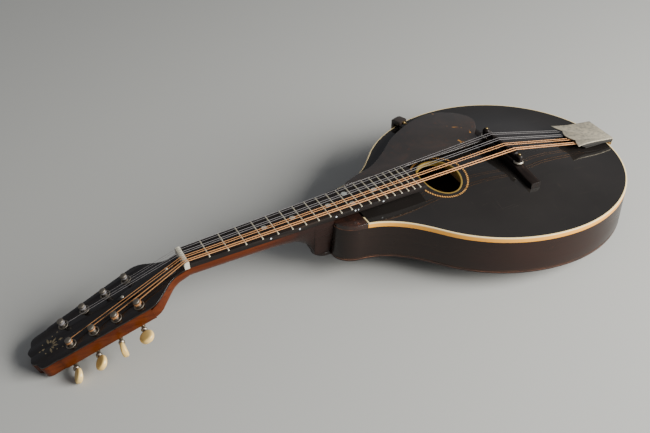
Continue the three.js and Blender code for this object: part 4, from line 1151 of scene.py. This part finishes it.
# ------------------------------------------------------------------ tuners
def post_profile():
    """String post: foot, shaft with a waist where the string winds, and a domed cap."""
    cap = [(3.15 * math.cos(a), 6.4 + 1.1 * math.sin(a)) for a in np.linspace(0.15, PI / 2, 8)]
    shaft = [(0, -21.4), (1.4, -21.2), (2.3, -20.2), (2.4, -18.2), (2.9, -18.0), (2.9, -0.4), (2.3, 0.0),
             (2.1, 1.9), (2.7, 2.4), (2.7, 5.2), (3.1, 5.5), (3.2, 5.9), (3.2, 6.4)]
    return shaft + cap[:-1] + [(0, 7.5)]


def gear_plan():
    """Outline of a worm wheel with rounded teeth."""
    points = []
    for i in range(GEAR_TEETH * 8):
        wave = 0.5 + 0.5 * math.cos(2 * PI * i / 8)
        radius = 4.25 + 0.78 * wave ** 0.8
        a = 2 * PI * i / (GEAR_TEETH * 8)
        points.append((radius * math.cos(a), radius * math.sin(a)))
    return points


def string_post(course):
    """Post with its worm wheel and the screw that holds it."""
    shape = lathe(post_profile(), 32)
    shape.add(slab(gear_plan(), WORM_Z - 1.4, WORM_Z + 1.4, bevel=0.25, paint=1))
    shape.add(screw(2.3, 0.8, 3), shift(0, 0, -21.0) @ spin(180, "X"))
    body = f"string_post_{course}"
    build(f"{body}_turned", shape, post_frame(course), [STEEL, BRASS], body, [body])


def ferrule(course):
    """Pressed ring where the post comes through the peghead's face."""
    profile = [(3.5, -1.2), (4.3, -1.2), (4.3, 0.0), (5.1, 0.02), (5.25, 0.25), (5.0, 0.55), (4.5, 0.65),
               (3.9, 0.4), (3.5, -0.3)]
    build(f"ferrule_{course}", lathe(profile, 36), post_frame(course), STEEL)


def coil_size(diameter):
    """Turns of a string on its post, and the height where it leaves: thick strings turn less."""
    turns = 2.4 if diameter > 0.5 else 5.6
    return turns, COIL_TOP - turns * diameter


def string_look(wound):
    return (WOUND_STRING, "wound_bronze") if wound else (PLAIN_STRING, "plain_steel")


def string_coil(course, diameter, wound, number):
    """Turns of string on the post, with the cut end sticking out a little."""
    turns, low = coil_size(diameter)
    start = COIL_STARTS[course]
    path = helix(COIL + diameter / 2, COIL_TOP, low, turns, start, 22)
    x, y, z = path[0]
    spur = []
    for reach, turn, rise in ((2.3, 0.9, 0.8), (0.9, 1.2, 0.5)):
        a = start + 0.5 + number + turn
        spur.append((x + reach * math.cos(a), y + reach * math.sin(a), z + rise))
    shape = tube(spur + path, diameter / 2, 8)
    look, slot = string_look(wound)
    build(f"string_coil_{course}", shape, post_frame(course), look, f"string_post_{course}")


def button_ring(k, radius):
    """Cross-section of the flat oval button at a station from -1 (inner) to 1 (outer)."""
    wide = radius * math.sqrt(max(1 - abs(k) ** 2.3, 0.0004))
    thick = (2.1 + 0.5 * (k + 1)) * math.sqrt(max(1 - abs(k) ** 9, 0.004))
    thick *= min(1, 0.6 + wide / radius)
    points = []
    for a in np.linspace(0, 2 * PI, 41)[:-1]:
        c, s = math.cos(a), math.sin(a)
        points.append((wide * math.copysign(abs(c) ** 0.78, c), thick * math.copysign(abs(s) ** 0.62, s)))
    return points


def tuner_key(course):
    """Ivoroid button on its knurled collar, shaft and worm."""
    centre, radius = 21.4, 6.95
    rings = []
    for k in (-0.999, -0.99, -0.96, -0.9, -0.8, -0.65, -0.45, -0.2, 0.05, 0.3, 0.52, 0.7, 0.83, 0.92, 0.97,
              0.992, 0.999):
        rings.append([(x, centre + k * radius, z) for x, z in button_ring(k, radius)])
    shape = loft(rings)
    along = spin(-90, "X")
    shaft = [(0, -6.85), (1.2, -6.85), (1.45, -6.5), (1.45, 15.5), (0, 15.5)]
    shape.add(lathe(shaft, 20), along, 1)
    collar = ((10.55, 2.5, 0.0), (10.8, 2.9, 0.22), (11.3, 3.0, 0.3), (12.1, 3.0, 0.3), (12.6, 2.9, 0.22),
              (12.85, 2.45, 0.0), (13.2, 2.0, 0.0), (14.6, 1.8, 0.0))
    shape.add(loft(knurled(collar, 36)), along, 1)
    worm = lathe([(0, -4.3), (1.45, -4.3), (1.45, 4.3), (0, 4.3)], 16)
    worm.add(tube(helix(1.52, -3.8, 3.8, 3.6, 0, 16), 0.38, 6))
    shape.add(worm, along, 1)
    body = f"tuner_key_{course}"
    build(f"{body}_turned", shape, key_frame(course), [IVOROID, DARK_NICKEL], body, [body])


def tuner_plate(bank, course):
    """Four-on-a-plate strip with bearing ears and wood screws, in the first post's frame."""
    across = 1 if bank == "treble" else -1
    z1, thick = -HEAD_THICK - 0.1, 1.1
    z0 = z1 - thick
    low, high = -88, 9
    plan = arc(high - 4, 0, 5, 6.4, -PI / 2, PI / 2, 14) + arc(low + 4, 0, 5, 6.4, PI / 2, 3 * PI / 2, 14)
    plan = [(across * x, across * y) for x, y in plan]
    holes = [ring(-across * k * POST_PITCH, 0, 3.1) for k in range(4)]
    shape = slab(plan, z0, z1, holes, bevel=0.25)
    for k in range(4):
        x = -across * (k * POST_PITCH + WORM_OFFSET)
        for y in (5.6, -5.6):
            ear = arc(0, WORM_Z, 2.45, 2.5, PI, 2 * PI, 12) + [(2.9, z1 - 0.3), (-2.9, z1 - 0.3)]
            hole = ring(0, WORM_Z, 1.55, count=16)
            shape.add(slab(ear, -0.8, 0.8, [hole], bevel=0.2), shift(x, y, 0) @ FROM_SIDE)
        spot = across * (11.8 - (k + 0.5) * POST_PITCH - 1.5)
        shape.add(screw(1.7, 0.8, 4), shift(spot, 3.6 * (-1) ** k, z0) @ spin(180, "X") @ spin(40 * k, "Z"))
    build(f"tuner_plate_{bank}_stamped", shape, post_frame(course), [DARK_NICKEL, PAINTED_SHADE],
          stands_for=[f"tuner_plate_{bank}"])


# ------------------------------------------------------------------ bridge
def arched_run(low, high, count):
    return [low + (high - low) * i / count for i in range(count + 1)]


def bridge_base():
    """Two-footed base, fitted to the arch, lofted across the top."""
    half = 61
    rings = []
    for y in sorted({*arched_run(-half, half, 96), -half + 0.5, half - 0.5}):
        s = abs(y)
        floor = top_at(0, y) + 0.12
        floor += 1.9 * (0.5 + 0.5 * math.cos(PI * min(s / 20, 1))) if s < 20 else 0
        end = 0.35 if s > half - 0.1 else 0
        roof = float(np.interp(s, (33.2, 35, 37.5, 50, half), (BASE_TOP, 16.1, 15.3, 13.6, 12.4))) - end
        wide, soft = 6.0 - end, 0.9
        half_section = ((wide, floor), (wide, roof - soft * 1.6), (wide - soft * 0.35, roof - soft * 0.55),
                        (wide - soft, roof - 0.08), (wide * 0.3, roof))
        rings.append([(-x, y, z) for x, z in half_section] + [(x, y, z) for x, z in reversed(half_section)])
    build("bridge_base_carved", loft(rings), BODY, BRIDGE_EBONY, stands_for=["bridge_base"])


def ridge_at(y):
    """Where the strings break over the saddle, stepped from course to course."""
    edges = [-60, -12.1, 0, 12.1, 60]
    for low, high, course in zip(edges, edges[1:], ("g", "d", "a", "e")):
        if low <= y < high:
            return COURSES[course][4]
    return 0


def saddle_top(y):
    """Height of the saddle's roof, with a dome over each post."""
    s = abs(y)
    if s < 23.4:
        return SADDLE_HIGH + 0.35
    if s < 25.2:
        return SADDLE_HIGH + 0.35 - 1.9 * math.sin(PI / 2 * (s - 23.4) / 1.8)
    return SADDLE_HIGH - 1.5 + 2.7 * math.sqrt(max(1 - ((s - WHEEL_Y) / 3.85) ** 2, 0))


def saddle():
    """Stepped saddle whose ridge shifts under each course, with a domed end over each post."""
    rings = []
    stops = set(arched_run(-33.1, 33.1, 110)) | {k + d for k in (-12.1, 0, 12.1) for d in (-0.06, 0.06)}
    for y in sorted(stops):
        s = abs(y)
        roof = saddle_top(y)
        low = SADDLE_LOW
        thick = 3.35
        if s > 30:
            t = (s - 30) / 3.15
            thick *= math.sqrt(max(1 - t * t * 0.8, 0.02))
        ridge = ridge_at(y) if s < 23.4 else 0
        ridge = max(min(ridge, thick - 0.5), -thick + 0.5)
        drop = 1.7 if s < 24 else 2.2
        swell = 0 if s < 24 else 0.35
        back = roof - drop * (thick + ridge) / 5
        front = roof - drop * (thick - ridge) / 5
        rings.append([(x, y, z) for x, z in (
            (-thick, low), (-thick, (low + back) / 2), (-thick, back - 0.5), (-thick + 0.35, back),
            ((ridge - thick) / 2, (roof + back) / 2 + swell), (ridge - 0.35, roof - 0.03),
            (ridge + 0.35, roof - 0.03), ((ridge + thick) / 2, (roof + front) / 2 + swell),
            (thick - 0.35, front), (thick, front - 0.5), (thick, (low + front) / 2), (thick, low))])
    build("bridge_saddle_stepped", loft(rings), BODY, BRIDGE_EBONY, "saddle", ["bridge_saddle"], 25)


def bridge_posts_and_wheels():
    """Threaded posts and the knurled wheels that carry the saddle."""
    for name, side in SIDES:
        thread = [(0, BASE_TOP - 4.8)]
        for i in range(34):
            z = BASE_TOP - 4.6 + i * 0.46
            thread += [(1.62, z), (1.88, z + 0.23)]
        thread += [(1.3, BASE_TOP + 11.5), (1.2, BASE_TOP + 11.7), (0, BASE_TOP + 11.75)]
        place = BODY @ shift(0, side * WHEEL_Y, 0)
        build(f"bridge_post_{name}_threaded", lathe(thread, 20), place, BRASS,
              stands_for=[f"bridge_post_{name}"], sharp=60)
        levels = ((WHEEL_LOW, 2.0, 0), (WHEEL_LOW, 4.6, 0), (WHEEL_LOW + 0.35, 5.0, 0.25),
                  (WHEEL_HIGH - 0.35, 5.0, 0.25), (WHEEL_HIGH, 4.6, 0), (WHEEL_HIGH, 2.0, 0))
        wheel = loft(knurled(levels, 48), looped=True)
        body = f"thumbwheel_{name}"
        build(f"{body}_knurled", wheel, place, NICKEL, body, [body])


# ------------------------------------------------------------------ tailpiece and end pin
COVER = BODY @ shift(84, 0, 12.6) @ Matrix.Rotation(0.09, 4, "Y")


def cover_plan():
    """Plan of the cover, with a point at each front corner and a cloud-shaped edge between them."""
    half = quadratic((40, 20), (19, 18.5), (0, 24), 16)
    half += quadratic((0, 24), (2.5, 15), (6, 11), 10)
    half += quadratic((6, 11), (1.6, 6), (1.0, 0), 10)
    return clean(mirrored([(51.8, 20)] + half))


def tailpiece_cover():
    """Stamped sheet, folded down along its sides and over the tail."""
    shape = slab(cover_plan(), -0.8, 0, bevel=0.3)
    outer = through([(4, 22.7), (14, 20.7), (26, 20.0), (40, 20.1), (51.7, 20.1)], 8)
    inner = [(x, y - 0.8) for x, y in reversed(outer)]
    for s in (1, -1):
        # The lower band of each flange takes the painted shade (second material), as if in the cover's shadow.
        for low, high, paint in ((-1.2, -0.15, 0), (-4.6, -1.2, 1)):
            flange = slab([(x, s * y) for x, y in outer + inner], low, high, bevel=0.1, paint=paint)
            shape.add(flange.bent(lambda x, y, z: (x, y, z if x > 12 else -0.15 + (z + 0.15) * (x - 3) / 9)))
    section = [(49.0, -0.02), (50.9, -0.12), (51.8, -0.8), (52.1, -1.8), (52.1, -9), (51.3, -9), (51.3, -1.9),
               (50.8, -1.0), (49.0, -0.75)]
    shape.add(slab(section, -20.1, 20.1, bevel=0), FROM_SIDE)
    build("tailpiece_cover_stamped", shape, COVER, [TAIL_METAL, PAINTED_SHADE], "tailpiece_cover",
          ["tailpiece_cover"])


def tailpiece_base():
    """Plate over the tail with eight hooks bent up from its shelf."""
    half, top, thick, front, drop = 19, 3.8, 1.2, 99, -34
    back = TAIL_X + 0.15
    wall = [(-half, top - 0.6), (half, top - 0.6), (half - 7, drop + 5), (half - 10, drop),
            (-half + 10, drop), (-half + 7, drop + 5)]
    shape = slab(wall, back, back + thick, [ring(0, -RIM_DEPTH / 2, 4.6)], bevel=0.25).moved(FROM_END)
    shelf = [(front, -half), (back + thick, -half), (back + thick, half), (front, half)]
    # The shelf under the cover takes the painted shade (second material).
    shape.add(slab(shelf, top - 0.5, top + 0.7, bevel=0.25, paint=1))
    for _, _, _, tail, _ in COURSES.values():
        for s in (-1, 1):
            root = Vector((HOOK_X + 4.2, tail + s * PAIR["tail"], top + 0.3))
            bend = ((0, 0), (-0.6, 1.6), (-2.1, 2.6), (-3.6, 2.3), (-4.4, 3.3))
            shape.add(tube([root + Vector((x, 0, z)) for x, z in bend], 0.75, 8))
    for y in (-7, 7):
        shape.add(screw(2.1, 1.0, 6), shift(back + thick, y, -28) @ spin(90, "Y"))
    build("tailpiece_base_stamped", shape, BODY, [NICKEL, PAINTED_SHADE],
          stands_for=["tailpiece_base"])


def end_pin():
    """Turned strap button in the tail block."""
    profile = [(0, -15.5), (3.4, -15.5), (3.9, 0.4), (3.95, 1.4), (7.2, 1.45), (7.9, 2.1), (8.0, 3.4),
               (7.0, 4.9), (5.6, 6.3), (5.0, 8.0), (5.15, 10.0), (6.1, 11.8), (7.2, 12.6), (7.45, 13.4),
               (7.1, 14.3), (5.6, 14.5), (0, 14.5)]
    place = BODY @ shift(TAIL_X + GAP, 0, -RIM_DEPTH / 2) @ spin(90, "Y")
    build("end_pin_turned", lathe(profile, 40), place, BRIDGE_EBONY, stands_for=["end_pin"])


# ------------------------------------------------------------------ pickguard
GUARD = BODY @ shift(-70, 28, 15.4) @ Matrix.Rotation(-0.09, 4, "X") @ Matrix.Rotation(-0.043, 4, "Y")
CLAMP = BODY @ shift(-56, 117.2, 0) @ Matrix.Rotation(0.37, 4, "Z")


def pickguard():
    """Raised guard cut from sheet, beside the strings."""
    outer = through([(-176, 20.6), (-171, 25.5), (-157, 32), (-134, 40.5), (-110, 59), (-87, 81), (-58, 99.5),
                     (-30, 109), (-10, 105.2), (6, 91), (12, 72), (5, 55), (-6, 41)], 8)
    lower = [(-8, 23), (-50, 21.6), (-105, 21.8)]
    outline = clean([(x + 70, y - 28) for x, y in outer + lower])
    build("pickguard_sheet", slab(outline, -1.6, 0, bevel=0.5, steps=3), GUARD, TORTOISE,
          stands_for=["pickguard"])


def guard_clamp():
    """Bracket bent from thick sheet, round the side to the edge of the back."""
    outer = through([(-7, 8.5), (1.5, 8.4), (4.2, 7.2), (5, 4.5), (5, -20), (5, -43.6), (4.0, -46.8),
                     (1.5, -47.6), (-6, -47.5)], 6)
    inner = through([(-6, -45.2), (0.2, -45.2), (1.3, -44.0), (1.5, -41.5), (1.5, -20), (1.5, 3.3)], 6)
    profile = clean(outer + inner + [(-7, 3.6)])
    build("pickguard_clamp_bent", slab(profile, -6, 6, bevel=0.6, steps=3).moved(FROM_END), CLAMP, TORTOISE,
          stands_for=["pickguard_clamp"])
    profile = [(0, -0.1), (1.5, -0.1), (1.6, 0.2), (1.6, 2.3), (1.2, 2.6), (0.9, 2.8), (0.9, 6.1), (0, 6.2)]
    place = CLAMP @ shift(0, -7.1, 6) @ FROM_SIDE
    build("pickguard_stud_turned", lathe(profile, 24), place, BRASS,
          stands_for=["pickguard_stud"])
    outside = CLAMP @ shift(0, 5.0, 5.0) @ spin(-90, "X")
    build("pickguard_clamp_screw", screw(2.2, 0.9, 3), outside, [BRASS, PAINTED_SHADE])


# ------------------------------------------------------------------ strings
def in_body(place, x, y, z):
    return (BODY.inverted() @ place) @ Vector((x, y, z))


def course_strings():
    """(name, course data, spread sign, side of the peghead, post number) of the eight strings."""
    for c, (name, data) in enumerate(COURSES.items()):
        side = -1 if c < 2 else 1
        first = 0 if name in "ge" else 2
        for k in (0, 1):
            yield f"{name}{k + 1}", name, data, side * (1 - 2 * k), side, first + k


def leaving_point(side, number, diameter):
    """Where a string leaves its post, in the peghead's frame."""
    x, y = post_place(side, number)
    return Vector((x + 0.6, y - side * (COIL + diameter / 2), coil_size(diameter)[1]))


COIL_STARTS = {}
for string, _, data, _, side, number in course_strings():
    local = post_frame(string).inverted() @ HEAD @ leaving_point(side, number, data[0])
    COIL_STARTS[string] = math.atan2(local.y, local.x)


def make_strings():
    """Each string in two pieces, in front of and behind the bridge, its loop end and its coil."""
    for string, name, data, spread, side, number in course_strings():
        diameter, nut_y, bridge_y, tail_y, lean = data
        r = diameter / 2
        wound = name in "gd"
        look, slot = string_look(wound)
        start = in_body(HEAD, *leaving_point(side, number, diameter))
        rear = in_body(NECK, -NUT_LENGTH + 0.7, nut_y + spread * PAIR["nut"], STRING_NUT - 0.35 + r)
        front = in_body(NECK, -0.2, nut_y + spread * PAIR["nut"], STRING_NUT + r)
        at_saddle = Vector((lean, bridge_y + spread * PAIR["bridge"], STRING_BRIDGE + r - 0.3))
        hook = Vector((HOOK_X + 1.2, tail_y + spread * PAIR["tail"], STRING_TAIL))
        speaking = [start, rear.lerp(start, 0.02), rear, front, front.lerp(at_saddle, 0.01)]
        speaking += [front.lerp(at_saddle, k / 16) for k in range(1, 16)] + [at_saddle]
        behind = [at_saddle, at_saddle.lerp(hook, 0.02)] + [at_saddle.lerp(hook, k / 8) for k in range(1, 9)]
        for part, path, still in (("speaking", speaking, front), ("behind_bridge", behind, hook)):
            stretch = tube(path, r)
            piece = build(f"string_{string}_{part}", stretch, BODY, look, None, [f"string_{string}"])
            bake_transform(piece)
        turns = np.linspace(0, 2 * PI, 21)
        loop = [hook + Vector((3.2 - 3.2 * math.cos(a), 1.25 * math.sin(a), 0.1)) for a in turns]
        build(f"string_loop_{string}", tube(loop, min(r, 0.25), 6), BODY, PLAIN_STRING)
        string_coil(string, diameter, wound, number)


# ------------------------------------------------------------------ light, floor and camera
WORLD_COLOR, WORLD_LIGHT = (0.9, 0.93, 1.0, 1), 0.24
FLOOR_COLOR, FLOOR_HALF = (0.42, 0.42, 0.4), 12.0
KEY_PLACE, KEY_TARGET, KEY_SIZE = (1.1, -1.2, 0.8), (0.35, -0.5, 0.0), (1.5, 1.1)
KEY_POWER, KEY_COLOR = 104, (1.0, 0.99, 0.96)
CAMERA_PLACE = (-156.05, -661.93, 547.82)               # in the neck's frame, mm
CAMERA_AHEAD = (0.32776, 0.72131, -0.610152)
CAMERA_RIGHT = (0.890826, -0.451042, -0.054681)
LENS, SENSOR = 51.87, 36


def studio():
    """Dim world, one large window-like lamp and a paper floor."""
    world = bpy.data.worlds.new("studio")
    world.use_nodes = True
    background = world.node_tree.nodes["Background"]
    background.inputs[0].default_value = WORLD_COLOR
    background.inputs[1].default_value = WORLD_LIGHT
    bpy.context.scene.world = world
    light = bpy.data.lights.new("key", "AREA")
    light.shape = "RECTANGLE"
    light.size, light.size_y = KEY_SIZE
    light.energy = KEY_POWER
    light.color = KEY_COLOR
    lamp = bpy.data.objects.new("key", light)
    lamp.location = KEY_PLACE
    lamp.rotation_mode = "QUATERNION"
    lamp.rotation_quaternion = (Vector(KEY_TARGET) - Vector(KEY_PLACE)).to_track_quat("-Z", "Y")
    bpy.context.scene.collection.objects.link(lamp)
    corners = [(x * FLOOR_HALF, y * FLOOR_HALF, 0) for x, y in ((-1, -1), (1, -1), (1, 1), (-1, 1))]
    floor = bpy.data.meshes.new("floor")
    floor.from_pydata(corners, [], [(0, 1, 2, 3)])
    floor.materials.append(Look("floor_paper", FLOOR_COLOR, 0.9, Specular_IOR_Level=0.1).material)
    thing = bpy.data.objects.new("floor", floor)
    bpy.context.scene.collection.objects.link(thing)


def camera():
    """Camera placed and aimed in the neck's frame."""
    data = bpy.data.cameras.new("camera")
    data.sensor_width = SENSOR
    data.lens = LENS
    data.clip_start, data.clip_end = 0.01, 50
    thing = bpy.data.objects.new("camera", data)
    turn = NECK.to_3x3()
    back = -(turn @ Vector(CAMERA_AHEAD)).normalized()
    side = (turn @ Vector(CAMERA_RIGHT)).normalized()
    axes = Matrix((side, back.cross(side), back)).transposed().to_4x4()
    thing.matrix_world = Matrix.Translation(NECK @ Vector(CAMERA_PLACE)) @ axes
    bpy.context.scene.collection.objects.link(thing)
    bpy.context.scene.camera = thing


studio()
camera()
top_plate()
edge_binding_strip()
hole_binding()
hole_ring()
sides()
back_plate()
head_block()
neck()
fingerboard()
nut()
peghead_face()
rod_cover()
inlay()
for course in BUTTON_TURNS:
    string_post(course)
    ferrule(course)
    tuner_key(course)
tuner_plate("treble", "e1")
tuner_plate("bass", "g1")
bridge_base()
saddle()
bridge_posts_and_wheels()
tailpiece_base()
tailpiece_cover()
end_pin()
pickguard()
guard_clamp()
make_strings()

# Hidden inside the instrument: the CAD shapes with their own materials.
for node, look in (("top_lining_bass", SPRUCE), ("top_lining_treble", SPRUCE), ("back_lining_bass", SPRUCE),
                   ("back_lining_treble", SPRUCE), ("cross_brace", SPRUCE), ("tail_block", MAHOGANY),
                   ("truss_rod", STEEL), ("truss_rod_nut", BRASS)):
    slots = frame["nodes"][node].data.materials
    slots.clear()
    slots.append(look)
